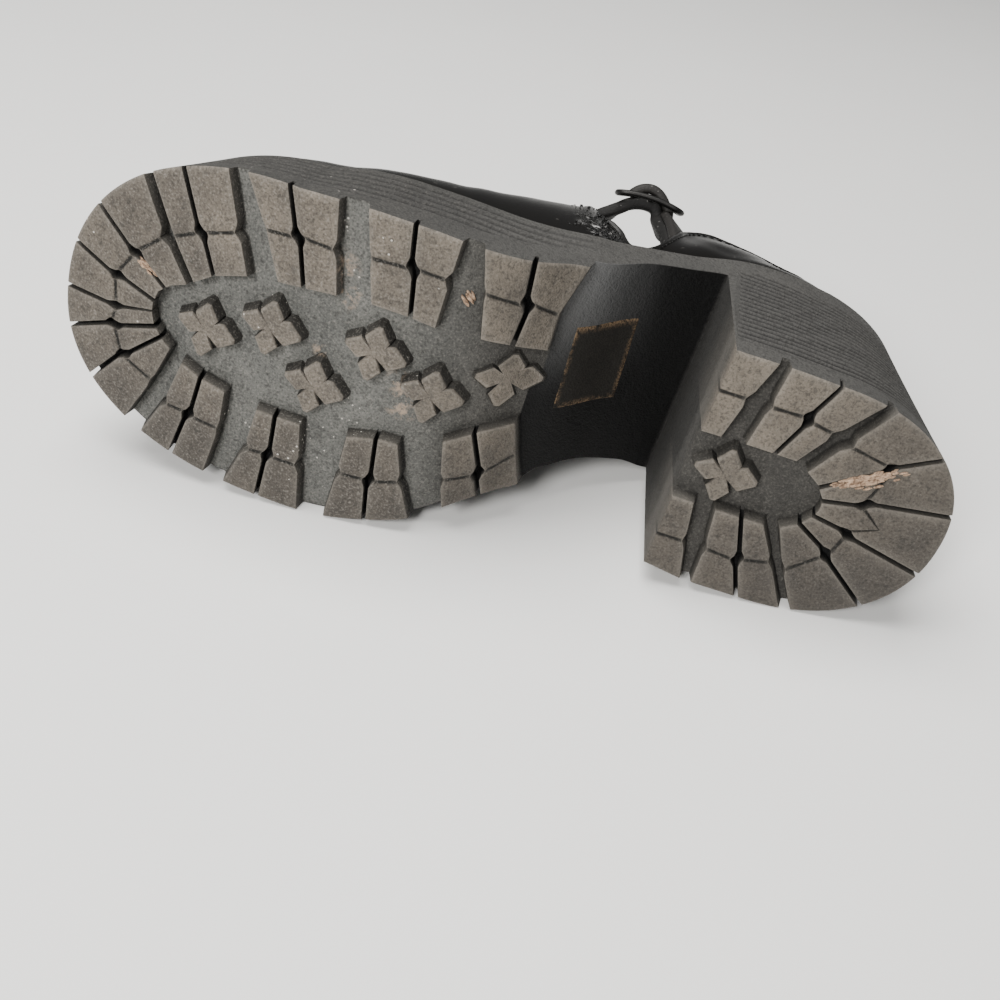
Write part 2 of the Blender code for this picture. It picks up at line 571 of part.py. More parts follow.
def upper_sheet():
    """Outer face of the upper as shared points and quads."""
    grids = [side_surface(LATERAL_ROWS, 0), side_surface(MEDIAL_ROWS, 1)]
    vamp = sum(1 for row in dense(LATERAL_ROWS) if row[4] > 0.999)
    for step in range(PROFILE_STEPS):
        for end in (0, -1):
            shared = (grids[0][end, step] + grids[1][end, step]) / 2
            grids[0][end, step] = grids[1][end, step] = shared
    grids[1][:vamp, -1] = grids[0][:vamp, -1]
    points, index = [], {}
    faces = []

    def number(point):
        key = tuple(np.round(point, 4))
        if key not in index:
            index[key] = len(points)
            points.append(point)
        return index[key]

    for side, grid in enumerate(grids):
        ids = [[number(p) for p in row] for row in grid]
        for i in range(len(ids) - 1):
            for j in range(PROFILE_STEPS - 1):
                face = (ids[i][j], ids[i + 1][j], ids[i + 1][j + 1], ids[i][j + 1])
                face = face if side == 0 else face[::-1]
                corners = tuple(dict.fromkeys(face))
                if len(corners) > 2:
                    faces.append(corners)
    return np.array(points), faces


def thickened(points, faces, wall, floor_z):
    """Closed shell: the sheet, a copy moved inward by wall, and its rims."""
    normals = np.zeros_like(points)
    edges = {}
    for face in faces:
        ring = points[list(face)]
        area = sum(np.cross(ring[i] - ring[0], ring[i + 1] - ring[0])
                   for i in range(1, len(face) - 1))
        for i in face:
            normals[i] += area
        for a, b in zip(face, face[1:] + face[:1]):
            edges[(a, b)] = edges.get((a, b), 0) + 1
    foot = points[:, 2] < floor_z(points[:, 0]) + SEAT_GAP + 0.02
    normals[foot, 2] = 0.0
    normals /= np.linalg.norm(normals, axis=1)[:, None]
    inner = points - normals * wall
    inner[foot, 2] = floor_z(inner[foot, 0]) + SEAT_GAP
    n = len(points)
    skin = [tuple(face) for face in faces]
    lining = [tuple(i + n for i in reversed(face)) for face in faces]
    rims = [(b, a, a + n, b + n) for a, b in edges if (b, a) not in edges]
    return np.concatenate([points, inner]), skin + lining + rims


def build_upper(parts):
    points, faces = upper_sheet()
    return solid("upper", *thickened(points, faces, WALL, top_z), parts, smooth=True)


def build_insole(parts):
    angle = np.radians(np.linspace(90.0, 0.0, 10))
    toe = TOE_START + (TOE_TIP - TOE_START) * np.sin(angle)
    middle = [108.0, 96.0, 84.0, 72.0, 60.0, 50.0, 41.0, 34.0, 27.0, 20.0, 12.0, 4.0]
    rear = [-6.0, -18.0]
    heel = HEEL_START - (HEEL_START - HEEL_TIP) * np.sin(angle[::-1])
    xs = np.concatenate([toe, middle, rear, heel])
    inset = np.full(len(xs), LEDGE + WALL + 1.4)
    rows = [feather_points(xs, side, inset) + (0.0, 0.0, SEAT_GAP) for side in (0, 1)]
    lift = np.array([0.0, 0.0, INSOLE])
    low = [[rows[0][k], rows[1][k]] for k in range(len(xs))]
    high = [[rows[0][k] + lift, rows[1][k] + lift] for k in range(len(xs))]
    return solid("insole", *rows_solid(low, high), parts)


# ---- straps and buckle -------------------------------------------------------
def band(rows, thick, steps):
    """Flat strap swept along its centre line with a rectangular section."""
    data = np.array(rows, float)
    index = np.arange(len(data), dtype=float)
    fine = np.linspace(0, len(data) - 1, (len(data) - 1) * steps + 1)
    path = np.stack([spline(index, column, fine) for column in data.T], axis=1)
    centre, half = path[:, :3], path[:, 3]
    run = np.gradient(centre, axis=0)
    run /= np.linalg.norm(run, axis=1)[:, None]
    face = path[:, 4:7].copy()
    face -= run * np.sum(face * run, axis=1)[:, None]
    face /= np.linalg.norm(face, axis=1)[:, None]
    across = np.cross(run, face)
    loops = []
    for sx, sf in ((1, 1), (-1, 1), (-1, -1), (1, -1)):
        loops.append(centre + across * (sx * half)[:, None] + face * sf * thick / 2)
    points = np.stack(loops, axis=1).reshape(-1, 3)
    faces = [(0, 1, 2, 3), tuple(range(len(points) - 1, len(points) - 5, -1))]
    for k in range(len(path) - 1):
        for s in range(4):
            a, b = 4 * k + s, 4 * k + (s + 1) % 4
            faces.append((a, a + 4, b + 4, b))
    return points, faces


def spline(xs, ys, at):
    """Natural spacing Catmull-Rom through the values."""
    i = np.clip(np.floor(at).astype(int), 0, len(xs) - 2)
    t = at - i
    padded = np.concatenate([[2 * ys[0] - ys[1]], ys, [2 * ys[-1] - ys[-2]]])
    p0, p1, p2, p3 = padded[i], padded[i + 1], padded[i + 2], padded[i + 3]
    return 0.5 * (2 * p1 + (p2 - p0) * t + (2 * p0 - 5 * p1 + 4 * p2 - p3) * t ** 2
                  + (3 * p1 - p0 - 3 * p2 + p3) * t ** 3)


def buckle_point(along, across, lift):
    """Point near the buckle, from its centre: along the strap, across it, outwards."""
    face = np.array(BUCKLE_FACE) / np.linalg.norm(BUCKLE_FACE)
    run = np.array([1.0, 0.0, 0.0])
    return np.array(BUCKLE_CENTRE) + run * along + np.cross(run, face) * across + face * lift


def buckle_wire_point(along, across):
    """Point on the wire of the arched frame."""
    return buckle_point(along, across, BUCKLE_ARCH * (1 - (2 * along / BUCKLE_LONG) ** 2))


def threaded(rows):
    """Strap rows given from the buckle, turned into shoe axes."""
    face = np.array(BUCKLE_FACE) / np.linalg.norm(BUCKLE_FACE)
    out = []
    for along, across, lift, turn_along, turn_lift in rows:
        place = buckle_point(along, across, lift)
        looks = np.array([turn_along, 0.0, 0.0]) + face * turn_lift
        out.append((*place, THREAD_HALF, *looks))
    return tuple(out)


def build_straps(parts):
    strap = (*LATERAL_LEG_ROWS, *threaded(UNDER_ROWS), *MEDIAL_LEG_ROWS)
    tab = (*threaded(OVER_ROWS), *TAB_LEG_ROWS)
    solid("instep_strap", *band(strap, STRAP_THICK, 3), parts)
    solid("buckle_tab", *band(tab, STRAP_THICK, 3), parts)


def tube(path, radius, closed, sides=8):
    """Round wire along a path of points."""
    path = np.array(path)
    n = len(path)
    if closed:
        run = np.roll(path, -1, axis=0) - np.roll(path, 1, axis=0)
    else:
        run = np.gradient(path, axis=0)
    run /= np.linalg.norm(run, axis=1)[:, None]
    face = np.array(BUCKLE_FACE) / np.linalg.norm(BUCKLE_FACE)
    up = face - run * (run @ face)[:, None]
    up /= np.linalg.norm(up, axis=1)[:, None]
    side = np.cross(run, up)
    angle = np.arange(sides) * 2 * math.pi / sides + math.pi / sides
    points = (path[:, None] + radius * (np.cos(angle)[None, :, None] * up[:, None]
                                        + np.sin(angle)[None, :, None] * side[:, None]))
    faces = []
    for k in range(n if closed else n - 1):
        for j in range(sides):
            a, b = k * sides, (k + 1) % n * sides
            i = (j + 1) % sides
            faces.append((a + j, b + j, b + i, a + i))
    if not closed:
        faces.append(tuple(range(sides)))
        faces.append(tuple(range(n * sides - 1, (n - 1) * sides - 1, -1)))
    return points.reshape(-1, 3), faces


def build_buckle(parts, cutters):
    """Wire frame with rounded corners and a middle bar, made as one piece."""
    long, wide = BUCKLE_LONG / 2 - BUCKLE_BAR, BUCKLE_WIDE / 2 - BUCKLE_BAR
    corner = 3.0
    path = []
    for quarter, (sx, sy) in enumerate(((1, 1), (-1, 1), (-1, -1), (1, -1))):
        for turn in (0, 30, 60, 90):
            spin = math.radians(90 * quarter + turn)
            path.append((sx * (long - corner) + corner * math.cos(spin),
                         sy * (wide - corner) + corner * math.sin(spin)))
        if quarter % 2 == 0:
            path += [(sx * (long - corner) * part, sy * wide) for part in (0.5, 0.0, -0.5)]
        else:
            path.append((sx * long, 0.0))
    frame = [buckle_wire_point(*place) for place in path]
    buckle = solid("slide_buckle", *tube(frame, BUCKLE_BAR, True), parts, smooth=True)
    bar = [buckle_wire_point(0.0, across) for across in np.linspace(-wide, wide, 5)]
    tool = solid("bar_maker", *tube(bar, BUCKLE_BAR * 0.86, False), cutters, smooth=True)
    tool.hide_render = True
    tool.display_type = "WIRE"
    boolean(buckle, tool, "UNION")


def lay_down(root, pieces):
    """Turn the shoe onto its floor points, toe to -X, and seat it on the floor."""
    a, b, c = (Vector(point) for point in FLOOR_POINTS)
    up = (b - a).cross(c - a).normalized()
    if up.y < 0:
        up = -up
    toe = (Vector((1.0, 0.0, 0.0)) - up * up.x).normalized()
    across = up.cross(-toe)
    turn = Matrix((-toe, across, up)).to_4x4()
    root.matrix_world = turn
    bpy.context.view_layer.update()
    graph = bpy.context.evaluated_depsgraph_get()
    corners = []
    for piece in pieces:
        mesh = piece.evaluated_get(graph).to_mesh()
        corners += [piece.matrix_world @ v.co for v in mesh.vertices]
    corners = np.array(corners)
    low, high = corners.min(axis=0), corners.max(axis=0)
    seat = Vector((-(low[0] + high[0]) / 2, -(low[1] + high[1]) / 2, -low[2]))
    root.matrix_world = Matrix.Translation(seat) @ turn
    bpy.context.view_layer.update()


def build_parts():
    clear_scene()
    parts = group("platform_mary_jane")
    cutters = group("platform_mary_jane_cutters")
    looks = {
        "sole_unit": material("sole_rubber", (0.045, 0.043, 0.041), 0.78),
        "upper": material("upper_leather", (0.020, 0.020, 0.022), 0.28),
        "insole": material("insole_fabric", (0.080, 0.075, 0.070), 0.90),
        "instep_strap": material("instep_strap_leather", (0.025, 0.025, 0.026), 0.45),
        "buckle_tab": material("buckle_tab_leather", (0.025, 0.025, 0.026), 0.45),
        "slide_buckle": material("buckle_metal", (0.060, 0.058, 0.056), 0.40, 0.8),
    }
    root = bpy.data.objects.new("shoe_root", None)
    parts.objects.link(root)
    build_sole(parts, cutters)
    build_upper(parts)
    build_insole(parts)
    build_straps(parts)
    build_buckle(parts, cutters)
    for name, look in looks.items():
        piece = bpy.data.objects[name]
        piece.data.materials.append(look)
        piece.parent = root
    for tool in cutters.objects:
        tool.parent = root
    lay_down(root, [bpy.data.objects[name] for name in looks])


build_parts()
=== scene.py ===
# %% [markdown]
# # A platform mary jane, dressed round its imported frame
#
# The shoe lies on its medial side, toe to the left, and shows its moulded sole.
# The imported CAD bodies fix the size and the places. Each piece below stands for
# one of them and carries the detail that a maker would look for: the ribs of the
# wall, the cuts between the lugs, the crossed studs, the leather and its stitches.

import bmesh
import bpy
import numpy as np
from mathutils import Matrix


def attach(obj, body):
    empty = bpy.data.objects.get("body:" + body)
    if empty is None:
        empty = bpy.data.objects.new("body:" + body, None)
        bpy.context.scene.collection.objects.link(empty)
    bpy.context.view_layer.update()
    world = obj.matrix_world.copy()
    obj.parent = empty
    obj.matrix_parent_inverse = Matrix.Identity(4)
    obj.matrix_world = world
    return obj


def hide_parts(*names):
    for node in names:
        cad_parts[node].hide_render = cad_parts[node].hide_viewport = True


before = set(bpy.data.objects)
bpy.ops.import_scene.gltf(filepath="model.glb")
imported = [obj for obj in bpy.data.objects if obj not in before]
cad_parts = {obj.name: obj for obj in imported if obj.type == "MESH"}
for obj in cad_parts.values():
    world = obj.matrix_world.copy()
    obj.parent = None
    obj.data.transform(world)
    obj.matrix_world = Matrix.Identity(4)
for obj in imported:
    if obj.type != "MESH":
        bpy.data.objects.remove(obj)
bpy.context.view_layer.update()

# %% [markdown]
# ## Shoe axes
#
# A shoemaker measures along the last, so every table is in the shoe's own
# millimetres: x runs from the heel breast to the toe, y to the lateral side and z
# from the tread up to the foot. One turn and one shift lay those points down on
# the floor, exactly where the CAD bodies lie.

# %% From shoe millimetres to the room
SHOE_TURN = np.array((
    (-0.987355292, 0.158441097, -0.005097022),
    (0.0, 0.032153148, 0.999482930),
    (0.158523068, 0.986844778, -0.031746577)))
SHOE_SEAT = np.array((57.518899, -60.360800, 42.467412))
MM = 0.001


def room(points):
    """Room metres of shoe millimetres: turn the axes, then add the seat."""
    return (np.asarray(points, float) @ SHOE_TURN.T + SHOE_SEAT) * MM


print("middle of the heel breast lies at, m:", np.round(room((0.0, 0.0, 0.0)), 4).tolist())

# %% [markdown]
# ## Camera, floor and light
#
# The camera looks down on the tread from in front, a little rolled. A pale floor
# fills the view. A broad lamp above and a smaller one in front, both a little
# toward the toe, put the shade of every lug on its heel side.

# %% Camera
CAMERA_PLACE = (45.836, 168.011, -284.579)
CAMERA_RIGHT = (-0.9480828, 0.2611312, 0.1816743)
CAMERA_UP = (0.3180983, 0.7768804, 0.5438847)
CAMERA_BACK = (0.0008805, 0.5730081, -0.8191879)
CAMERA_LENS = 43.197

camera = bpy.data.objects.new("studio_camera", bpy.data.cameras.new("studio_camera"))
bpy.context.scene.collection.objects.link(camera)
camera_axes = [SHOE_TURN @ np.array(axis) for axis in (CAMERA_RIGHT, CAMERA_UP, CAMERA_BACK)]
camera_matrix = np.eye(4)
camera_matrix[:3, :3] = np.stack(camera_axes, axis=1)
camera_matrix[:3, 3] = room(CAMERA_PLACE)
camera.matrix_world = Matrix(camera_matrix.tolist())
camera.data.lens = CAMERA_LENS
camera.data.sensor_width = 36.0
camera.data.clip_start = 0.01
bpy.context.scene.camera = camera
print("camera stands at, m:", np.round(camera_matrix[:3, 3], 3).tolist())


# %% Lamps
LAMP_TARGET = (0.0, 0.0, 0.05)
LAMP_TINT = (1.0, 0.99, 0.97)
LAMPS = (   # name, place and size in room metres, power in watts
    ("overhead_lamp", (-0.25, 0.00, 1.20), 0.9, 23.5),
    ("front_lamp", (-0.30, -1.10, 0.75), 0.35, 17.4))
SKY_COLOUR, SKY_STRENGTH = (0.95, 0.96, 0.97, 1.0), 0.17


def lamp(name, place, size, power):
    """Square area lamp whose back is the line from the target to its place."""
    made = bpy.data.objects.new(name, bpy.data.lights.new(name, "AREA"))
    made.data.size, made.data.energy, made.data.color = size, power, LAMP_TINT
    back = np.array(place) - LAMP_TARGET
    back /= np.linalg.norm(back)
    right = np.cross((0.0, 0.0, 1.0), back) + (1e-6, 0.0, 0.0)
    right /= np.linalg.norm(right)
    turn = np.eye(4)
    turn[:3, :3] = np.stack([right, np.cross(back, right), back], axis=1)
    turn[:3, 3] = place
    made.matrix_world = Matrix(turn.tolist())
    bpy.context.scene.collection.objects.link(made)


for row in LAMPS:
    lamp(*row)
sky = bpy.data.worlds.new("studio_air")
sky.use_nodes = True
sky_inputs = sky.node_tree.nodes["Background"].inputs
sky_inputs["Color"].default_value = SKY_COLOUR
sky_inputs["Strength"].default_value = SKY_STRENGTH
bpy.context.scene.world = sky
print("lamps:", [row[0] for row in LAMPS], "and a sky of strength", SKY_STRENGTH)

# %% [markdown]
# ## Writing a finish
#
# A finish is a small sum of masks: where the dust lies, where an edge is worn. To
# write it as a sum, one class holds an output socket and turns + - * / and
# comparisons into Math nodes. Colours never pass through Math nodes, which would
# grey them; they go through Mix nodes.

# %% One class for shader sums
class Wire:
    """An output socket that can be added, multiplied and compared."""

    def __init__(self, tree, socket):
        self.tree, self.socket = tree, socket

    def node(self, kind, settings=None, inputs=None, output=0):
        """A new node: its settings first, then the values or wires of its inputs."""
        made = self.tree.nodes.new(kind)
        for name, value in (settings or {}).items():
            setattr(made, name, value)
        for key, value in (inputs or {}).items():
            if isinstance(value, Wire):
                self.tree.links.new(value.socket, made.inputs[key])
            else:
                made.inputs[key].default_value = value
        return Wire(self.tree, made.outputs[output])

    def maths(self, operation, first, second=0.0, clamp=False):
        """One Math node on two numbers or wires."""
        return self.node("ShaderNodeMath", {"operation": operation, "use_clamp": clamp},
                         {0: first, 1: second})

    def __add__(self, other): return self.maths("ADD", self, other)
    def __radd__(self, other): return self.maths("ADD", other, self)
    def __sub__(self, other): return self.maths("SUBTRACT", self, other)
    def __rsub__(self, other): return self.maths("SUBTRACT", other, self)
    def __mul__(self, other): return self.maths("MULTIPLY", self, other)
    def __rmul__(self, other): return self.maths("MULTIPLY", other, self)
    def __gt__(self, other): return self.maths("GREATER_THAN", self, other)
    def __lt__(self, other): return self.maths("LESS_THAN", self, other)

    def clamped(self):
        """The same number, held between 0 and 1."""
        return self.maths("ADD", self, 0.0, clamp=True)

    def ramped(self, low, high):
        """0 below low, 1 above high, smooth between."""
        return self.node("ShaderNodeMapRange", {"interpolation_type": "SMOOTHSTEP"},
                         {"Value": self, "From Min": low, "From Max": high})

    def mixed(self, dark, light):
        """Colour dark where this is 0 and light where it is 1.

        A Mix node has a set of sockets for each kind of data; those for colours are
        inputs 6 and 7 and output 2.
        """
        dark, light = ((*c, 1.0) if isinstance(c, tuple) else c for c in (dark, light))
        return self.node("ShaderNodeMix", {"data_type": "RGBA"},
                         {0: self, 6: dark, 7: light}, 2)

    def noise(self, scale, detail=3.0, rough=0.55, stretch=(1.0, 1.0, 1.0)):
        """Cloudy pattern around one half, scale in features per metre."""
        where = self.node("ShaderNodeMapping", None, {"Vector": self, "Scale": stretch})
        return self.node("ShaderNodeTexNoise", None, {
            "Vector": where, "Scale": scale, "Detail": detail, "Roughness": rough})

    def cells(self, scale):
        """Distance to the nearest of many scattered points: small round cells."""
        return self.node("ShaderNodeTexVoronoi", None, {"Vector": self, "Scale": scale})

    def axis(self, which):
        """One coordinate of a vector: 0, 1 or 2."""
        return self.node("ShaderNodeSeparateXYZ", None, {0: self}, which)

    def near(self, centre, reach):
        """1 within 0.6 of reach metres from a point, falling smoothly to 0 at 1.7."""
        away = self.node("ShaderNodeVectorMath", {"operation": "DISTANCE"},
                         {0: self, 1: tuple(centre)}, "Value")
        return 1.0 - away.ramped(reach * 0.6, reach * 1.7)

    def mark(self, name):
        """A number that the mesh carries at its points."""
        return self.node("ShaderNodeAttribute", {"attribute_name": name}, None, "Fac")

    def bumped(self, strength, depth, under=None):
        """Normal tilted by this height, depth in metres, on top of another bump."""
        inputs = {"Strength": strength, "Distance": depth, "Height": self}
        if under is not None:
            inputs["Normal"] = under
        return self.node("ShaderNodeBump", None, inputs)


# %% A blank finish
def blank_finish(name, **constants):
    """New material: (material, shader node, object coordinates in metres)."""
    made = bpy.data.materials.new(name)
    made.use_nodes = True
    shader = made.node_tree.nodes["Principled BSDF"]
    for key, value in constants.items():
        shader.inputs[key.replace("_", " ").title().replace("Ior", "IOR")].default_value = value
    place = Wire(made.node_tree, None).node("ShaderNodeTexCoord", output="Object")
    print("finish:", name)
    return made, shader, place


def feed(shader, **wires):
    """Links the varying inputs of the shader."""
    for key, wire in wires.items():
        wire.tree.links.new(wire.socket, shader.inputs[key.replace("_", " ").title()])


# %% [markdown]
# ## Putting surfaces into meshes
#
# Each shape below is a grid: an array of points with rows and columns. One helper
# joins the grids of a piece, merges the points that fall together at seams and
# poles, turns the faces outwards and marks the sharp edges.

# %% Small sums used everywhere
def length(vectors):
    """Length of each vector of an array, kept as a last axis of one."""
    return np.linalg.norm(vectors, axis=-1, keepdims=True)


def run_of(steps):
    """Distance run along a chain after each of its steps, from 0."""
    return np.concatenate([[0.0], np.cumsum(steps)])


def read_off(at, run, values):
    """Every column of values, known at the distances run, read off at other ones."""
    return np.stack([np.interp(at, run, column) for column in values.T], -1)


def flat_turn(degrees):
    """Matrix that turns rows (x, y) by an angle, in degrees."""
    spin = np.radians(degrees)
    return np.array([[np.cos(spin), np.sin(spin)], [-np.sin(spin), np.cos(spin)]])


def smooth_step(low, high, x):
    """0 below low, 1 above high, and three squares less two cubes of the share between."""
    t = np.clip((np.asarray(x, float) - low) / (high - low), 0.0, 1.0)
    return t * t * (3 - 2 * t)


def plateau(rise_from, rise_to, fall_from, fall_to, x):
    """A smooth step up and another down: 1 between rise_to and fall_from."""
    return smooth_step(rise_from, rise_to, x) * (1 - smooth_step(fall_from, fall_to, x))


# %% Grid helpers
WELD = 0.000001


def grid_quads(rows, columns, round_rows=False, round_columns=False):
    """Four corner numbers for each cell of a grid, closed where it goes round."""
    r = np.arange(rows if round_rows else rows - 1)
    c = np.arange(columns if round_columns else columns - 1)
    r, c = (a.ravel() for a in np.meshgrid(r, c, indexing="ij"))
    r2, c2 = (r + 1) % rows, (c + 1) % columns
    return np.stack([r * columns + c, r * columns + c2, r2 * columns + c2, r2 * columns + c], 1)


def ringed(grid, **marks):
    """Grid whose columns close round, as piece() takes it."""
    return grid, False, True, marks


# %% From grids to a piece
def piece(name, grids, finish, node=None, sharp=60.0, outward=None):
    """Mesh object from grids of shoe millimetres.

    Each grid is (points, round_rows, round_columns, marks); marks are named arrays
    of one number a point. outward is None for closed pieces; for an open sheet it
    is a point in shoe millimetres that the faces look away from.
    """
    points, quads, marks, start = [], [], {}, 0
    for grid, round_rows, round_columns, own in grids:
        rows, columns = grid.shape[:2]
        points.append(grid.reshape(-1, 3))
        quads.append(grid_quads(rows, columns, round_rows, round_columns) + start)
        for key in own:
            block = np.broadcast_to(own[key], (rows, columns))
            marks.setdefault(key, []).append((start, block))
        start += rows * columns
    points, quads = room(np.concatenate(points)), np.concatenate(quads)
    mesh = bpy.data.meshes.new(name)
    mesh.vertices.add(len(points))
    mesh.vertices.foreach_set("co", points.ravel())
    mesh.loops.add(quads.size)
    mesh.loops.foreach_set("vertex_index", quads.ravel())
    mesh.polygons.add(len(quads))
    mesh.polygons.foreach_set("loop_start", np.arange(0, quads.size, 4))
    mesh.update(calc_edges=True)
    for key, parts in marks.items():
        values = np.zeros(len(points), np.float32)
        for first, block in parts:
            values[first:first + block.size] = block.ravel()
        mesh.attributes.new(key, "FLOAT", "POINT").data.foreach_set("value", values)
    work = bmesh.new()
    work.from_mesh(mesh)
    bmesh.ops.remove_doubles(work, verts=work.verts, dist=WELD)
    bmesh.ops.dissolve_degenerate(work, edges=work.edges, dist=WELD / 4)
    bmesh.ops.recalc_face_normals(work, faces=work.faces)
    if outward is not None:
        away = room(outward)
        lean = sum(face.normal.dot(face.calc_center_median() - type(face.normal)(away))
                   for face in work.faces)
        if lean < 0:
            bmesh.ops.reverse_faces(work, faces=work.faces)
    work.to_mesh(mesh)
    work.free()
    mesh.polygons.foreach_set("use_smooth", np.ones(len(mesh.polygons), bool))
    mesh.set_sharp_from_angle(angle=np.radians(sharp))
    mesh.materials.append(finish)
    made = bpy.data.objects.new(name, mesh)
    bpy.context.scene.collection.objects.link(made)
    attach(made, "root")
    if node:
        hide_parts(node)
    print(f"{name}: {len(mesh.vertices)} points, "
          f"{sum(len(p.vertices) - 2 for p in mesh.polygons)} triangles")
    return made


# %% Curves through a table
def smooth_table(rows, column):
    """Cubic through one column of a table, as a function of the first column.

    Each span is a Hermite cubic. The slope at a row is the harmonic mean of the
    slopes on both sides, or 0 where they differ in sign, so it never overshoots.
    """
    data = np.array(sorted((row[0], row[column]) for row in rows), float)
    xs, ys = data[:, 0], data[:, 1]
    step = np.diff(xs)
    slope = np.diff(ys) / step
    a, b = slope[:-1], slope[1:]
    inside = np.where(a * b <= 0, 0.0, 2 * a * b / np.where(a * b <= 0, 1.0, a + b))
    tangent = np.concatenate([slope[:1], inside, slope[-1:]])

    def value(x):
        """The curve at x, held at its ends outside the table."""
        x = np.clip(np.asarray(x, float), xs[0], xs[-1])
        i = np.clip(np.searchsorted(xs, x) - 1, 0, len(xs) - 2)
        t = (x - xs[i]) / step[i]
        return ((1 + 2 * t) * (1 - t) ** 2 * ys[i] + t * (1 - t) ** 2 * step[i] * tangent[i]
                + t * t * (3 - 2 * t) * ys[i + 1] - t * t * (1 - t) * step[i] * tangent[i + 1])
    return value


# %% [markdown]
# ## The sole's lines
#
# The sole is one moulding. Its plan comes from a table of half widths with a
# rounded toe and heel; its profile from the tread's rocker, the arched waist and
# the feather line that carries the upper. The walls lean inwards at toe and heel.

# %% Plan and profile tables
TOE_TIP, TOE_START = 186.5, 120.0
HEEL_TIP, HEEL_START = -73.2, -29.0
PLAN_ROWS = (   # x, lateral, medial, lean lateral, lean medial
    (-29.0, 36.6, -37.4, -1.6, -1.2), (-14.0, 37.0, -37.6, 0.2, 0.4),
    (0.0, 36.8, -36.0, 1.0, 0.6), (3.7, 37.1, -35.8, 0.6, 0.6),
    (14.0, 37.0, -32.6, 0.2, 1.4), (28.0, 37.2, -31.6, 0.2, 2.0),
    (38.0, 37.8, -32.4, 0.0, 1.8), (42.0, 38.4, -35.6, -0.2, 1.0),
    (56.0, 39.4, -40.6, -1.6, -0.4), (70.0, 40.9, -49.0, -3.0, -0.8),
    (83.0, 41.7, -54.4, -3.4, -0.9), (95.0, 41.6, -58.0, -3.3, -0.9),
    (108.0, 41.0, -59.7, -3.9, -0.9), (120.0, 40.0, -60.0, -5.8, -1.6))
TOE_CURVE = (2.08, 2.40)
TOE_MIDDLE, TOE_LEAN = -18.0, -10.0
HEEL_CURVE, HEEL_MIDDLE, HEEL_LEAN = 2.2, -0.4, -11.5
TOP_ROWS = (     # x, height of the feather line
    (-74.0, 65.0), (-50.0, 65.0), (-27.0, 64.2), (-7.0, 61.6), (3.7, 57.8),
    (15.0, 52.5), (28.0, 47.0), (41.0, 41.5), (53.0, 38.6), (65.0, 37.4),
    (88.0, 37.4), (109.0, 37.8), (130.0, 38.6), (160.0, 41.0), (187.0, 44.0))
TREAD_ROWS = (   # x, height of the lug tops
    (41.0, 17.4), (47.0, 14.2), (51.0, 10.9), (55.0, 7.7), (60.0, 4.6), (65.0, 2.3),
    (70.0, 0.7), (74.0, 0.0), (82.0, 0.0), (95.0, 0.4), (110.0, 1.4), (125.0, 2.9),
    (140.0, 5.1), (155.0, 7.9), (170.0, 11.3), (187.0, 15.8))
WAIST_ROWS = (   # x, lateral z, medial z; the last rows run out into the tread's floor
    (3.7, 46.4, 51.0), (8.0, 44.8, 48.6), (14.0, 42.0, 45.0), (20.0, 39.4, 41.2),
    (27.0, 35.4, 36.0), (31.5, 31.0, 31.5), (36.0, 26.4, 26.7), (42.0, 21.9, 21.9),
    (45.0, 20.3, 20.3))
TREAD_DEPTH = 5.0    # from a lug top to the floor of a cut
BREAST = 3.7         # x where the waist meets the heel's front face
PAN_END = 45.0       # x where the tread's floor turns into the waist
HEEL_OR_FORE = 20.0  # any x between the two treads
SOLE_WIDTH = 74.0    # across which the waist's lateral and medial lines are mixed

plan = [smooth_table(PLAN_ROWS, column) for column in (1, 2, 3, 4)]
top_z = smooth_table(TOP_ROWS, 1)
rocker_z = smooth_table(TREAD_ROWS, 1)
waist_z = [smooth_table(WAIST_ROWS, column) for column in (1, 2)]
print("platform, mm at the ball:", round(float(top_z(95.0) - rocker_z(95.0)), 1))


# %% Heights of the underside
def tread_z(x):
    """Height of the lug tops: 0 under the heel, the rocker under the ball and toe."""
    return np.where(np.asarray(x) < HEEL_OR_FORE, 0.0, rocker_z(x))


def underside(x, y, cut):
    """Height of the sole's underside; cut is 0 on a lug top and 1 on the floor of a cut.

    Forward of the breast it runs from the tread to the floor or the waist; behind it
    from 0 to the depth of the cuts, and the breast is the steep slope between.
    """
    share = np.clip(0.5 - y / SOLE_WIDTH, 0.0, 1.0)
    waist = waist_z[0](x) * (1 - share) + waist_z[1](x) * share
    floor = np.where(x > PAN_END, tread_z(x) + TREAD_DEPTH, waist)
    front = tread_z(x) + cut * (floor - tread_z(x))
    crest = waist_z[0](BREAST) * (1 - share) + waist_z[1](BREAST) * share
    rear = np.maximum(cut * TREAD_DEPTH, crest * np.clip(x / BREAST, 0.0, 1.0))
    return np.where(x > BREAST - 1e-4, front, rear)


print("floor of the cuts, mm at the ball:", round(float(underside(95.0, 0.0, 1.0)), 1))

# %% The two edges of the sole as chains of points
def ends_share(x):
    """How far toward the toe tip and the heel tip a place is: shares 0 to 1."""
    return (np.clip((x - TOE_START) / (TOE_TIP - TOE_START), 0.0, 1.0),
            np.clip((HEEL_START - x) / (HEEL_START - HEEL_TIP), 0.0, 1.0))


def edge_y(x, side):
    """Half width: the table, closed by a rounded (superellipse) toe and heel."""
    fore, rear = ends_share(x)
    p, q = TOE_CURVE[side], HEEL_CURVE
    toe = TOE_MIDDLE + (plan[side](TOE_START) - TOE_MIDDLE) * (1 - fore ** p) ** (1 / p)
    heel = HEEL_MIDDLE + (plan[side](HEEL_START) - HEEL_MIDDLE) * (1 - rear ** q) ** (1 / q)
    return np.where(x > TOE_START, toe, np.where(x < HEEL_START, heel, plan[side](x)))


# Points on each rounded end, on the sides between, and in the average that blunts
# the outward normals.
END_STEPS, SIDE_STEPS, BLUNT = 6000, 9000, 61


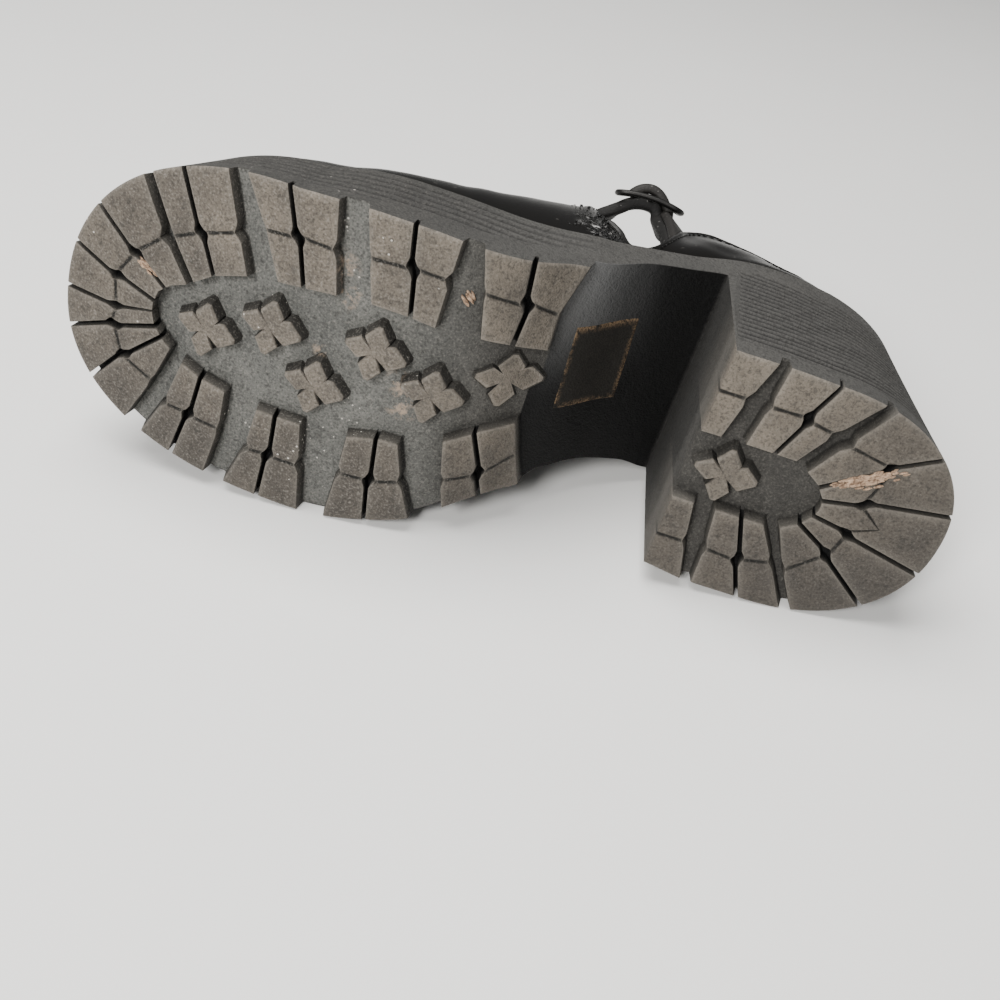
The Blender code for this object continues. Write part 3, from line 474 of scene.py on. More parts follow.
class Edge:
    """One side's outline, toe tip to heel tip, measured by the distance run along it."""

    def __init__(self, side):
        turn = np.radians(np.linspace(90.0, 0.0, END_STEPS))
        toe = TOE_START + (TOE_TIP - TOE_START) * np.sin(turn)
        heel = HEEL_START - (HEEL_START - HEEL_TIP) * np.sin(turn[::-1])
        x = np.concatenate([toe, np.linspace(TOE_START, HEEL_START, SIDE_STEPS)[1:-1], heel])
        y = edge_y(x, side)
        self.flat = np.stack([x, y], -1)
        self.run = run_of(np.hypot(np.diff(x), np.diff(y)))
        blunt = np.ones(BLUNT) / BLUNT
        slopes = [np.gradient(v, self.run + 1e-9 * np.arange(len(x))) for v in (x, y)]
        along = [np.convolve(np.pad(slope, BLUNT // 2, mode="edge"), blunt, "valid")
                 for slope in slopes]
        sign = 1.0 if side == 0 else -1.0
        out = np.stack([sign * along[1], -sign * along[0]], 1)
        out[0], out[-1] = (1.0, 0.0), (-1.0, 0.0)
        self.out = out / length(out)
        lean, (fore, rear) = plan[2 + side](x), ends_share(x)
        self.lean = (lean + (TOE_LEAN - lean) * fore + (HEEL_LEAN - lean) * rear)[:, None]

    def low(self, run):
        """Points of the tread outline."""
        return read_off(run, self.run, self.flat)

    def normal(self, run):
        """Outward directions of the wall, seen from below."""
        return read_off(run, self.run, self.out)

    def high(self, run, inset=0.0):
        """Points of the top edge: the outline moved out by the wall's lean."""
        lean = read_off(run, self.run, self.lean)
        flat = self.low(run) + self.normal(run) * (lean - inset)
        return np.concatenate([flat, top_z(flat[..., :1])], -1)

    def meet(self, point):
        """Distance run at the place nearest to a point."""
        return self.run[np.argmin(((self.flat - point) ** 2).sum(1))]


edges = [Edge(0), Edge(1)]
print("outline, mm round each side:", [round(float(e.run[-1]), 1) for e in edges])

# %% [markdown]
# ## The tread's cuts
#
# The lugs stand round a smooth pan. Each wide groove and each knife-thin slit
# runs from the outline to the pan with one small bend half way. Their two edges
# become lines of the mesh, so the lugs come out crisp without any cutting tools.

# %% Pan, grooves and slits
PAN_ROWS = (   # x, lateral, medial edge of the smooth floor, toe to heel
    (157.5, -13.5, -13.5), (157.4, -10.5, -13.7), (156.2, -6.2, -17.6),
    (152.4, -2.6, -21.4), (147.7, -0.2, -25.0), (140.0, 5.9, -27.7),
    (130.5, 9.9, -29.2), (121.0, 12.0, -30.4), (106.0, 14.3, -29.6),
    (94.5, 15.7, -28.2), (84.0, 15.8, -24.9), (77.0, 15.2, -24.6),
    (66.0, 15.2, -19.8), (57.5, 14.1, -15.6), (47.5, 12.0, -12.9),
    (41.0, 11.4, -12.4), (3.7, 11.4, -11.5), (0.0, 11.4, -11.5),
    (-12.6, 11.8, -11.2), (-26.6, 11.8, -10.9), (-31.0, 9.6, -10.2),
    (-35.0, 7.0, -7.4), (-37.8, 3.4, -3.6), (-38.5, 1.2, -1.4), (-38.6, -0.1, -0.1))
GROOVES = (   # name, edge toward the toe, edge toward the heel, notch toward each
    ("lat_toe", ((163.2, 24.4), (155.9, 10.9), (147.7, -0.2)),
     ((160.4, 26.0), (153.2, 12.4), (145.4, 1.2)), 1.8, 0.2),
    ("lat_ball", ((139.7, 36.2), (134.5, 21.4), (130.3, 9.9)),
     ((134.3, 37.6), (127.0, 25.1), (121.3, 12.0)), 1.4, 0.2),
    ("lat_tread", ((109.1, 40.9), (107.2, 27.1), (104.7, 14.4)),
     ((100.9, 40.0), (97.9, 28.4), (94.9, 15.7)), 1.0, 0.4),
    ("lat_rear", ((75.5, 41.2), (76.1, 29.5), (76.7, 15.2)),
     ((69.5, 40.7), (66.6, 28.5), (64.2, 15.2)), 1.4, 0.4),
    ("med_toe", ((162.8, -52.6), (155.2, -36.1), (150.1, -22.3)),
     ((157.1, -56.1), (150.3, -40.9), (146.8, -27.4)), 0.6, 1.6),
    ("med_ball", ((134.6, -58.6), (131.8, -42.1), (131.7, -29.1)),
     ((127.7, -60.1), (122.8, -44.5), (121.1, -30.4)), 0.6, 1.8),
    ("med_tread", ((103.6, -58.4), (105.6, -43.5), (107.5, -29.6)),
     ((94.9, -58.1), (93.7, -40.9), (93.2, -28.1)), 1.2, 1.4),
    ("med_rear", ((70.5, -48.0), (74.9, -36.7), (78.4, -24.8)),
     ((61.5, -43.5), (63.9, -33.4), (66.3, -19.8)), 1.0, 1.0),
    ("heel_lat", ((-11.6, 37.0), (-8.0, 24.7), (-5.5, 11.4)),
     ((-15.1, 37.2), (-14.1, 24.7), (-12.6, 11.9)), 0.8, 0.8),
    ("heel_med", ((-11.5, -38.0), (-8.4, -24.5), (-6.2, -11.5)),
     ((-15.1, -37.9), (-14.4, -24.5), (-12.6, -10.8)), 0.8, 0.8),
    ("heel_lat_back", ((-41.6, 35.8), (-32.9, 22.9), (-26.8, 11.8)),
     ((-45.1, 34.4), (-37.5, 21.3), (-32.2, 11.6)), 1.0, 1.6),
    ("heel_med_back", ((-41.6, -36.2), (-33.6, -22.2), (-26.6, -10.8)),
     ((-44.8, -35.0), (-37.2, -22.6), (-31.4, -10.4)), 1.0, 1.0))
FRONT_ENDS = (   # rear edge of the last front lugs, lateral and medial
    ((42.6, 36.6), (46.4, 23.5), (46.3, 11.7)),
    ((42.6, -34.6), (45.4, -24.9), (48.5, -12.9)))
SLITS = (   # name, then the middle line's outer, middle and inner point
    ("lat_a", (151.8, 30.9), (145.3, 16.8), (140.0, 5.9)),
    ("lat_b", (122.7, 40.4), (118.0, 26.7), (114.0, 12.9)),
    ("lat_c", (88.2, 41.8), (86.2, 29.6), (83.8, 15.8)),
    ("lat_d", (56.6, 39.2), (55.1, 26.6), (55.7, 13.7)),
    ("med_a", (146.0, -56.9), (142.0, -41.5), (139.7, -27.7)),
    ("med_b", (116.6, -60.3), (115.4, -44.0), (115.3, -29.0)),
    ("med_c", (82.6, -54.4), (84.1, -39.7), (85.0, -24.8)),
    ("med_d", (52.3, -39.0), (54.3, -30.8), (58.8, -15.7)),
    ("toe_1", (177.3, 11.7), (164.5, 2.3), (154.6, -4.0)),
    ("toe_2", (184.6, -2.6), (169.8, -7.2), (156.6, -9.8)),
    ("toe_4", (184.8, -31.0), (169.4, -23.2), (155.6, -17.4)),
    ("toe_5", (175.5, -44.2), (165.4, -31.5), (153.8, -20.2)),
    ("heel_lat_slit", (-28.9, 36.8), (-24.8, 24.6), (-20.7, 11.8)),
    ("heel_med_slit", (-28.9, -37.4), (-24.3, -24.6), (-20.2, -11.2)),
    ("heel_back_1", (-61.4, 25.4), (-50.2, 18.0), (-36.0, 6.6)),
    ("heel_back_2", (-71.7, 10.4), (-49.2, 5.7), (-38.2, 2.6)),
    ("heel_back_3", (-71.7, -10.4), (-48.7, -5.0), (-38.0, -2.8)),
    ("heel_back_4", (-62.5, -26.8), (-46.2, -13.5), (-36.0, -7.0)))
TOE_SLIT_MIDDLE = (169.3, -17.1)   # of the slit that runs out at the toe tip
print("cuts:", [row[0] for row in GROOVES + SLITS])

# %% The pan's edge
PAN_FINE = 20000
pan_table = np.array(PAN_ROWS)
pan_run = run_of(np.maximum(*(np.hypot(np.diff(pan_table[:, 0]), np.diff(pan_table[:, side]))
                              for side in (1, 2))))


def pan_edge(run, side):
    """Point of the pan's edge at a distance run, straight between the table's rows."""
    return read_off(run, pan_run, pan_table[:, [0, 1 + side]])


pan_fine = np.linspace(0.0, pan_run[-1], PAN_FINE)
pan_chains = [pan_edge(pan_fine, side) for side in (0, 1)]


def pan_meet(point, side):
    """Distance run at the place of the pan's edge nearest to a point."""
    return pan_fine[np.argmin(((pan_chains[side] - point) ** 2).sum(1))]


print("pan's edge, mm:", round(float(pan_run[-1]), 1))


# %% [markdown]
# Every line of a side is one row of numbers: where it meets the pan, where it
# meets the outline, its middle point, how deep it lies (cut), whether it already
# belongs to the waist and whether it is a slit. Between two rows all of it changes
# evenly.

# %% Lines of the lugs
SLIT, SLIT_DRAFT, DRAFT = 1.45, 0.25, 0.9   # slit width; how far each flank leans
SOFT_EDGE, SOFT_CUT = 0.65, 0.06            # width and depth of a lug's rounded edge
SLIT_CUT, RIM_CUT = 0.9, 0.12               # depth of a slit and of the outline's edge
SLIT_POCKET = 1.2                           # how far a slit opens half way
STEEPEST = 0.22                             # share of a groove that a flank may take


def line_row(side, three, cut, waist=0.0, slit=0.0):
    """One line of a side, from its outer, middle and inner point."""
    outer, middle, inner = three
    return (pan_meet(inner, side), edges[side].meet(outer), *middle, cut, waist, slit)


def groove_places(gap):
    """Where a groove's lines lie: edge, rim, flank, middle, flank, rim and edge."""
    flank = np.minimum(DRAFT, STEEPEST * gap)
    return (0 * gap - SOFT_EDGE, 0 * gap, flank, 0.5 * gap, gap - flank, gap,
            gap + SOFT_EDGE)


def slit_places(gap):
    """Where a slit's lines lie: edge, rim, flank, flank, rim and edge."""
    return (0 * gap - SOFT_EDGE, 0 * gap, 0 * gap + SLIT_DRAFT, gap - SLIT_DRAFT, gap,
            gap + SOFT_EDGE)


def across_cut(a, b, places):
    """Three-point lines at given millimetres from edge a toward edge b."""
    gap = length(b - a)
    return [a + (b - a) * (place / gap) for place in places(gap)]


def side_of(middle):
    """0 where a cut's middle is lateral of the toe or heel line, 1 where medial."""
    return int(middle[1] < (TOE_SLIT_MIDDLE[1] if middle[0] > PAN_END else HEEL_MIDDLE))


# %% Rows for the grooves and slits
GROOVE_CUTS = (0, SOFT_CUT, 1, 1, 1, SOFT_CUT, 0)
SLIT_CUTS = (0, SOFT_CUT, SLIT_CUT, SLIT_CUT, SOFT_CUT, 0)
SLIT_SHARES = (0, 0.5, 1, 1, 0.5, 0)
side_rows, notch_rows = ([], []), ([], [])
for _, a, b, notch_a, notch_b in GROOVES:
    side = side_of(a[1])
    rows = [line_row(side, line, cut) for line, cut in zip(
        across_cut(np.array(a), np.array(b), groove_places), GROOVE_CUTS)]
    side_rows[side].extend(rows)
    notch_rows[side].extend([(rows[1][0], -notch_a, 0.0), (rows[5][0], notch_b, 0.0)])
for _, *line in SLITS:
    side = side_of(line[1])
    line = np.array(line)
    run = line[2] - line[0]
    over = np.array([run[1], -run[0]]) / np.linalg.norm(run)
    a, b = line + over * SLIT / 2, line - over * SLIT / 2
    if pan_meet(a[2], side) > pan_meet(b[2], side):
        a, b = b, a
    rows = [line_row(side, line, cut, slit=slit) for line, cut, slit in zip(
        across_cut(a, b, slit_places), SLIT_CUTS, SLIT_SHARES)]
    side_rows[side].extend(rows)
    notch_rows[side].extend([(rows[1][0], -SLIT_POCKET, 0.5), (rows[4][0], SLIT_POCKET, 0.5)])
for side, line in enumerate(FRONT_ENDS):
    for back, cut, waist in ((-SOFT_EDGE, 0, 0), (0.0, SOFT_CUT, 0), (DRAFT, 1, 1)):
        side_rows[side].append(line_row(side, np.array(line) - (back, 0.0), cut, waist))
    notch_rows[side].append((side_rows[side][-2][0], 0.0, 0.0))
print("cut lines on each side:", [len(rows) for rows in side_rows])


# %% Lines across the waist, the breast and the two ends
CROSS_LINES = ((36.0, 1, 1), (20.0, 1, 1), (BREAST, 1, 1), (0.0, 0, 0))   # x, cut, waist
CROSS_MIDDLE = 24.6         # how far out their middle points lie
HEEL_END = (-56.0, HEEL_MIDDLE)
TOE_LINES = (   # half of the toe slit: distance from its middle line, cut, slit
    (0.0, SLIT_CUT, 1.0), (SLIT / 2 - SLIT_DRAFT, SLIT_CUT, 1.0), (SLIT / 2, SOFT_CUT, 0.5),
    (SLIT / 2 + SOFT_EDGE, 0.0, 0.0))


def straight_row(side, x, middle, cut, waist):
    """One line straight across a side at a given x."""
    out = edges[side]
    outer = out.run[np.argmin(np.abs(out.flat[:, 0] - x))]
    return (np.interp(-x, -pan_table[:, 0], pan_run), outer, x, middle, cut, waist, 0.0)


for side, sign in ((0, 1.0), (1, -1.0)):
    for x, cut, waist in CROSS_LINES:
        side_rows[side].append(straight_row(side, x, sign * CROSS_MIDDLE, cut, waist))
        if x <= BREAST:
            notch_rows[side].append((side_rows[side][-1][0], 0.0, 0.0))
    for away, cut, slit in TOE_LINES:
        side_rows[side].append((away * 0.9, away, TOE_SLIT_MIDDLE[0],
                                TOE_SLIT_MIDDLE[1] + sign * away, cut, 0.0, slit))
    notch_rows[side].extend([(0.0, 0.0, 0.0), (SLIT / 2, SLIT_POCKET, 0.0)])
    side_rows[side].append((pan_run[-1], edges[side].run[-1], *HEEL_END, 0.0, 0.0, 0.0))
    notch_rows[side].append((pan_run[-1], 0.0, 0.0))
side_rows = [np.array(sorted(rows)) for rows in side_rows]
for rows in side_rows:
    rows[:, 1] = np.maximum.accumulate(rows[:, 1])
print("lines on each side:", [len(rows) for rows in side_rows])


# %% Half way between two cuts the notches have died away
WIDEST_CUT = 14.0


def with_rests(rows):
    """Notch table with a zero put half way across each lug, but not inside a cut."""
    rows = sorted(rows)
    out = [rows[0]]
    for before, after in zip(rows, rows[1:]):
        if not (before[1] < 0 < after[1] and after[0] - before[0] < WIDEST_CUT):
            out.append(((before[0] + after[0]) / 2, 0.0, 0.0))
        out.append(after)
    return np.array(out)


notch_tables = [with_rests(rows) for rows in notch_rows]
print("notch rows on each side:", [len(rows) for rows in notch_tables])

# %% [markdown]
# ## Columns of the sole
#
# The mesh has one column at every line of either side, and a few more between
# so that no cell is wider than about a millimetre and a half. Each column is a
# closed loop: down one wall, across the underside and up the other wall.

# %% Columns
WIDEST = 1.6


def filled_columns():
    """The keys of all lines, with even steps between them where they lie far apart."""
    keys = np.unique(np.round(np.concatenate([rows[:, 0] for rows in side_rows]), 4))
    runs = [np.interp(keys, rows[:, 0], rows[:, 1]) for rows in side_rows]
    gaps = np.maximum.reduce([np.diff(line) for line in (keys, *runs)])
    counts = np.maximum(np.ceil(gaps / WIDEST).astype(int), 1)
    return np.concatenate([np.linspace(a, b, n, endpoint=False)
                           for a, b, n in zip(keys[:-1], keys[1:], counts)] + [keys[-1:]])


columns = filled_columns()
spine = (pan_edge(columns, 0) + pan_edge(columns, 1)) / 2
print("columns:", len(columns))


# %% What each column needs
class Half:
    """Everything that one side's columns need, as arrays with one row a column."""

    def __init__(self, side):
        rows, notch, edge = side_rows[side], notch_tables[side], edges[side]
        self.run, x, y, self.cut, self.waist, self.slit = read_off(
            columns, rows[:, 0], rows[:, 1:]).T
        self.outer, self.middle = edge.low(self.run), np.stack([x, y], -1)
        self.inner = pan_edge(columns, side)
        self.notch, self.jog = read_off(columns, notch[:, 0], notch[:, 1:]).T
        self.along = np.gradient(self.middle, axis=0)
        self.along /= length(self.along) + 1e-9
        cuts = self.middle[self.cut >= SOFT_CUT * 0.9]
        self.from_cut = length(self.middle[:, None] - cuts).min(1)
        self.base_z = self.under(self.waist)
        self.low_z = self.under(np.maximum(self.cut, RIM_CUT))
        self.high = edge.high(self.run)
        self.out = edge.normal(self.run)

    def under(self, cut):
        """Height of the underside along the outline."""
        return underside(self.outer[:, 0], self.outer[:, 1], cut)


halves = [Half(0), Half(1)]
print("longest step along the outline, mm:",
      [round(float(np.diff(half.run).max()), 2) for half in halves])

# %% [markdown]
# ## The underside
#
# Across one side a column runs outline - middle - pan edge. Close to the middle
# the rows crowd together: there the cuts open into small V notches and a shallow
# crease crosses the lug, as the mould has them. Two marks go with the points:
# how much of a lug top they are, and how near to a worn edge.

# %% Rows across one side
NOTCH_REACH = 2.7                          # how far from the middle a notch is felt
CREASE, CREASE_HALF = 0.75, 0.75           # depth and half width of a lug's crease
CREASE_FADE = (0.35, 8.0)                  # its share far from a cut; how far is far
LANE_NEAR = np.array([2.9, 2.2, 1.5, 0.9, 0.45])   # rows close to the middle
LANE_FAR = np.linspace(0, 1, 9)[None, 1:-1]        # even rows in the rest
RIM_ROWS = np.array([0.0, SOFT_EDGE, 1.0])[None]   # rows close to the outer and pan edge
LEAN_REACH = 4.0                           # how far in from the outline the lugs lean
WEAR_REACH, CREASE_SHADE = 0.7, 0.42
# BREAST_WAIST: the share of the waist's painted shadow that the breast takes
BREAST_WAIST = 0.62                        # the breast is a little lighter than the waist


def lane_distances(half):
    """Rows from the outline to the middle, and from there to the pan, in mm."""
    long_1, long_2 = length(half.middle - half.outer), length(half.inner - half.middle)
    spare = LANE_NEAR[0] + RIM_ROWS[0, -1]
    d_1 = np.concatenate([RIM_ROWS + 0 * long_1,
                          RIM_ROWS[0, -1] + (long_1 - spare) * LANE_FAR,
                          long_1 - LANE_NEAR, long_1], 1)
    d_2 = np.concatenate([LANE_NEAR[::-1] + 0 * long_2,
                          LANE_NEAR[0] + (long_2 - spare) * LANE_FAR,
                          long_2 - RIM_ROWS[:, ::-1]], 1)
    return long_1, long_2, d_1, d_2


# %% Points on the lugs
def lug_part(half):
    """Points on the lugs and in the cuts, with their marks lug and wear.

    A row lies at its distance along outline - middle - pan edge. Notches push it
    along the shoe; then the underside gives its height, and a crease sinks it.
    """
    long_1, long_2, d_1, d_2 = lane_distances(half)
    first, last = (v[:, None] for v in (half.middle - half.outer, half.inner - half.middle))
    flat = np.concatenate([half.outer[:, None] + first * (d_1 / long_1)[..., None],
                           half.middle[:, None] + last * (d_2 / long_2)[..., None]], 1)
    away = np.concatenate([d_1 - long_1, d_2], 1)
    bend = np.clip(1 - np.abs(away) / NOTCH_REACH, 0, 1) * half.notch[:, None]
    fade = np.where(away < 0, 1 + away / long_1, 1 - away / long_2)
    bend = bend + half.jog[:, None] * np.clip(away, -1, 1) * fade
    flat = flat + half.along[:, None] * bend[..., None]

    border = np.zeros(away.shape[1])
    border[[0, 1, -1]] = RIM_CUT, RIM_CUT / 4, SOFT_CUT
    cut = np.maximum(half.cut[:, None], border)
    far_share, far = CREASE_FADE
    crease = np.clip(1 - np.abs(away) / CREASE_HALF, 0, 1) * np.clip(
        1 - half.cut / SOFT_CUT, 0, 1)[:, None]
    crease = crease * (far_share + (1 - far_share)
                       * np.clip(1 - half.from_cut / far, 0, 1))
    z = underside(flat[..., 0], flat[..., 1], cut) + CREASE * crease

    from_outline = np.concatenate([d_1, d_2 + long_1], 1)
    sunk = ((z[:, 0] - half.base_z) / (half.high[:, 2] - half.base_z))[:, None]
    shift = (half.high[:, :2] - half.outer) * sunk
    flat = flat + shift[:, None] * np.clip(1 - from_outline / LEAN_REACH, 0, 1)[..., None]
    from_pan = np.concatenate([long_1 - d_1 + long_2, long_2 - d_2], 1)
    from_rim = np.minimum(np.minimum(from_outline, from_pan), half.from_cut)
    wear = np.exp(-from_rim / WEAR_REACH) * (half.cut[:, None] < 0.5)
    # a crease lowers the lug mark, so its line is painted darker: painted shade in the crease
    lug = np.clip(1 - half.cut, 0, 1)[:, None] - CREASE_SHADE * crease
    return np.concatenate([flat, z[..., None]], -1), lug, wear


# %% Points on the pan, and both together
def pan_part(half):
    """Points on the pan: a steep flank's width first, then evenly to the spine."""
    to_spine = spine - half.inner
    wide = length(to_spine)
    flank = np.minimum(DRAFT, wide)
    away = np.concatenate([flank, flank + (wide - flank) * np.linspace(0, 1, 7)[None, 1:]], 1)
    share = away / np.maximum(wide, 1e-6)
    flat = half.inner[:, None] + to_spine[:, None] * share[..., None]
    return np.concatenate([flat, underside(flat[..., 0], flat[..., 1], 1.0)[..., None]], -1)


def lane(half):
    """Points and marks from the outline to the spine, column by column."""
    (lugs, lug, wear), pan = lug_part(half), pan_part(half)
    points = np.concatenate([lugs, pan], 1)
    none = np.zeros(pan.shape[:2])
    breast = (points[..., 0] > 0.4) & (points[..., 0] < BREAST + 0.3)
    return points, {
        "lug": np.concatenate([lug, none], 1), "wear": np.concatenate([wear, none], 1),
        "wall": breast + 0.0, "waist": np.where(breast, BREAST_WAIST, half.waist[:, None]),
        "slit": np.concatenate([half.slit[:, None] + 0 * wear, none], 1)}


lanes = [lane(half) for half in halves]
print("rows from outline to spine:", lanes[0][0].shape[1])

# %% [markdown]
# The outsole's own wall is a low band, high enough to hold the open ends of all
# the cuts. Above it the ribbed wall starts, on exactly the same points.

# %% The outsole's surface
BAND = 5.6                                              # height of the outsole's wall
BAND_ROWS = np.array([0.7, 1.4, 2.5, 3.8, 5.0, BAND])


def wall_point(half, z):
    """Points of the wall at given heights: the outline drawn toward the top edge."""
    share = (z - half.base_z[:, None]) / (half.high[:, 2] - half.base_z)[:, None]
    flat = half.outer[:, None] + (half.high[:, :2] - half.outer)[:, None] * share[..., None]
    return np.concatenate([flat, z[..., None]], -1)


def band(half):
    """Rows of the low band: even heights, but never below the edge of a cut."""
    return wall_point(half, np.maximum(half.base_z[:, None] + BAND_ROWS, half.low_z[:, None]))


def right_round(first, lateral, medial, last):
    """Down one wall, across both sides of the underside and up the other wall."""
    return np.concatenate([first[:, ::-1], lateral, medial[:, -2::-1], last], 1)


bands = [band(half) for half in halves]
outsole_grid = right_round(bands[0], lanes[0][0], lanes[1][0], bands[1])
none = np.zeros(bands[0].shape[:2])
outsole_marks = {key: right_round(none, lanes[0][1][key], lanes[1][1][key], none)
                 for key in lanes[0][1]}
outsole_marks["wall"][:, :len(BAND_ROWS)] = outsole_marks["wall"][:, -len(BAND_ROWS):] = 1.0
print("outsole grid:", outsole_grid.shape[:2])

# %% [markdown]
# ## Rubber
#
# Black rubber that has been walked on is not black. The lug tops carry a dry
# brown-grey dust and show a fine open grain; their edges are rubbed paler. The
# dust is painted lighter on the lateral lugs, which lie uppermost, and darker on
# the heel's back: painted light and shade. The floors of the cuts stay darker and
# a little greener. The flanks are bare black rubber made darker still as painted
# shade, and the rib valleys, the slits and the waist are painted dark as shade,
# with a painted pool of light at the waist's lateral top. The walls are a matt
# charcoal with faint wipes. All of it is mixed from the marks and from noise.


# %% Rubber finish
SOIL_SPOTS = (   # place in shoe millimetres, reach
    ((105.5, 21.0, 6.0), 3.6), ((102.0, 13.0, 5.8), 2.8), ((83.0, -7.5, 5.0), 3.0),
    ((80.6, -14.5, 5.0), 3.6), ((107.0, -6.1, 6.2), 1.8), ((162.5, -21.8, 7.6), 1.8))
# Flank colour: bare black rubber, made darker still as painted shade in the grooves
BARE_RUBBER_AND_SHADE, WAIST_SHADOW_BLACK, SLIT_PAINTED_SHADE = (0.010, 0.010, 0.009), (0.002,) * 3, (0.005,) * 3


def rubber_base(place, mark, cloud, blotch):
    """Colour by part: lug tops with dust, lit and shaded by painted light; greener floors;
    black flanks and rib valleys darkened as painted shade; charcoal walls.
    """
    heel = place.axis(0).ramped(-0.034, 0.006)
    toe = place.axis(0).ramped(-0.065, -0.110)
    # back: the heel's back lugs get less dust colour, as painted shade
    back = place.axis(0).ramped(0.070, 0.125)
    # high: lug tops higher in the room, on the lateral side, get more dust colour, as painted
    # light from above
    high = place.axis(2).ramped(0.012, 0.050)
    dust = (blotch * 0.9 + cloud * 0.9 - 0.44).clamped()
    floor = dust.mixed((0.072, 0.074, 0.070), (0.168, 0.166, 0.152))
    floor = heel.mixed(floor, dust.mixed((0.026, 0.025, 0.023), (0.078, 0.074, 0.067)))
    # dust on the lug tops, plus painted light above and painted shade at the heel's back
    dust_and_painted_light = (dust * (0.42 + high * 0.70) * (1.0 - back * 0.50 - toe * 0.35)).clamped()
    top = dust_and_painted_light.mixed((0.044, 0.040, 0.036), (0.202, 0.172, 0.137))
    side = (cloud * 0.6 + blotch * 0.5 - 0.05).clamped().mixed((0.022, 0.022, 0.021),
                                                              (0.076, 0.073, 0.068))
    side = (heel * 0.22).mixed(side, (0.115, 0.112, 0.106))
    colour = mark["lug"].ramped(0.1, 0.9).mixed(floor, top)
    # flanks between a lug top and a floor: bare black rubber darkened further as painted shade
    flank = (mark["lug"] * (1.0 - mark["lug"]) * 4.0).ramped(0.12, 0.60) * 0.95
    colour = flank.mixed(colour, BARE_RUBBER_AND_SHADE)
    colour = mark["wall"].mixed(colour, side)
    # rib valleys on the wall painted near black: painted shade
    return heel, (mark["valley"].clamped() * 0.9).mixed(colour, (0.008, 0.008, 0.008))


def rubber_wear(place, mark, colour, heel, grain, crinkle, blotch):
    """The same colour with open grain, soil, rubbed edges and grit laid over it."""
    pale_grain = grain.ramped(0.50, 0.74) * 0.30 * (1.0 - mark["wall"] * 0.7)
    colour = (pale_grain * (1.0 - heel * 0.6)).mixed(colour, (0.36, 0.335, 0.30))
    colour = (grain.ramped(0.50, 0.28) * 0.55).mixed(colour, (0.020, 0.019, 0.018))
    colour = (crinkle.ramped(0.47, 0.36) * 0.45).mixed(colour, (0.026, 0.025, 0.023))
    soil = 0.0
    for centre, reach in SOIL_SPOTS:
        soil = place.near(room(centre), reach * MM) + soil
    soil = (soil * place.noise(420.0, 4.0, 0.7).ramped(0.46, 0.66)).clamped()
    colour = (soil * 0.75).mixed(colour, (0.36, 0.275, 0.205))
    worn = (mark["wear"] * (0.35 + blotch)).clamped() * 0.30
    colour = worn.mixed(colour, (0.30, 0.275, 0.24))
    grit = ((place.cells(420.0) < 0.13) * (place.noise(60.0, 2.0) > 0.62)) * (1.0 - heel) * 0.8
    return grit.mixed(colour, (0.55, 0.52, 0.47))


def rubber_finish(name):
    """The worn colour, except in the waist, painted as shadow with a pool of painted light at
    its lateral top, and deep in the slits, painted near black as shade.
    """
    made, shader, place = blank_finish(name, specular_ior_level=0.25)
    cloud = place.noise(38.0, 4.0, 0.6)
    blotch = place.noise(120.0, 5.0, 0.65)
    grain = place.noise(1500.0, 2.0, 0.6)
    crinkle = place.noise(620.0, 4.0, 0.65)
    mark = {key: place.mark(key) for key in ("lug", "wear", "wall", "waist", "slit", "valley")}
    heel, colour = rubber_base(place, mark, cloud, blotch)
    colour = rubber_wear(place, mark, colour, heel, grain, crinkle, blotch)
    # Waist: clean black rubber painted darker still as shadow, with a painted pool of light
    # toward its lateral top by the ball.
    lit = place.axis(2).ramped(0.040, 0.088) * place.axis(0).ramped(0.045, 0.022)
    waist_light_and_shadow = (lit * (0.6 + cloud * 0.7)).clamped().mixed(WAIST_SHADOW_BLACK, (0.110, 0.110, 0.110))
    colour = mark["waist"].ramped(0.3, 0.9).mixed(colour, waist_light_and_shadow)
    # the slits are painted near black: painted shade in the narrow cuts
    colour = mark["slit"].ramped(0.4, 0.9).mixed(colour, SLIT_PAINTED_SHADE)
    rough = 0.66 + cloud * 0.2 + mark["lug"] * 0.08
    feed(shader, base_color=colour, roughness=rough.clamped(),
         normal=(grain * 0.6 + crinkle).bumped(0.85, 0.0006))
    return made


rubber = rubber_finish("walked_on_rubber")

# %% The outsole piece
piece("sole_tread", [ringed(outsole_grid, **outsole_marks)], rubber,
      "sole_unit", sharp=40.0)

# %% [markdown]
# ## The ribbed wall
#
# The mould was turned with shallow ribs. On the heel about two dozen run level,
# one above the other, between a plain band at the top and one at the bottom, and
# they die out before the breast. On the forefoot a few broader ribs follow the
# feather line round the toe and fade along the side. The rib is a push along the
# wall's outward normal: a narrow valley, then a flat crown.

# %% Ribs
WALL_ROWS, TOP_COLUMNS = 121, 8
HEEL_RIB, FRONT_RIB = 2.5, 4.3        # height of one rib
HEEL_DEPTH, FRONT_DEPTH = 0.55, 0.95
CROWN_GAP = 1.0                       # plain edge above the last rib
# FRONT_SHADE: the share of the rib valleys' painted shade on the forefoot.
FRONT_SHADE = 0.85                    # how much of the valleys' darkness in front
EDGE_ROWS = ((0.3, -0.25), (0.0, -0.9))   # below the top edge, push: a rounded rim


def rib_wave(turns, wide):
    """0 on the flat crowns and 1 in the valleys, one valley a turn, softly joined."""
    return 0.5 + 0.5 * np.clip(1.9 * np.cos(2 * np.pi * turns) + wide, -1, 1)


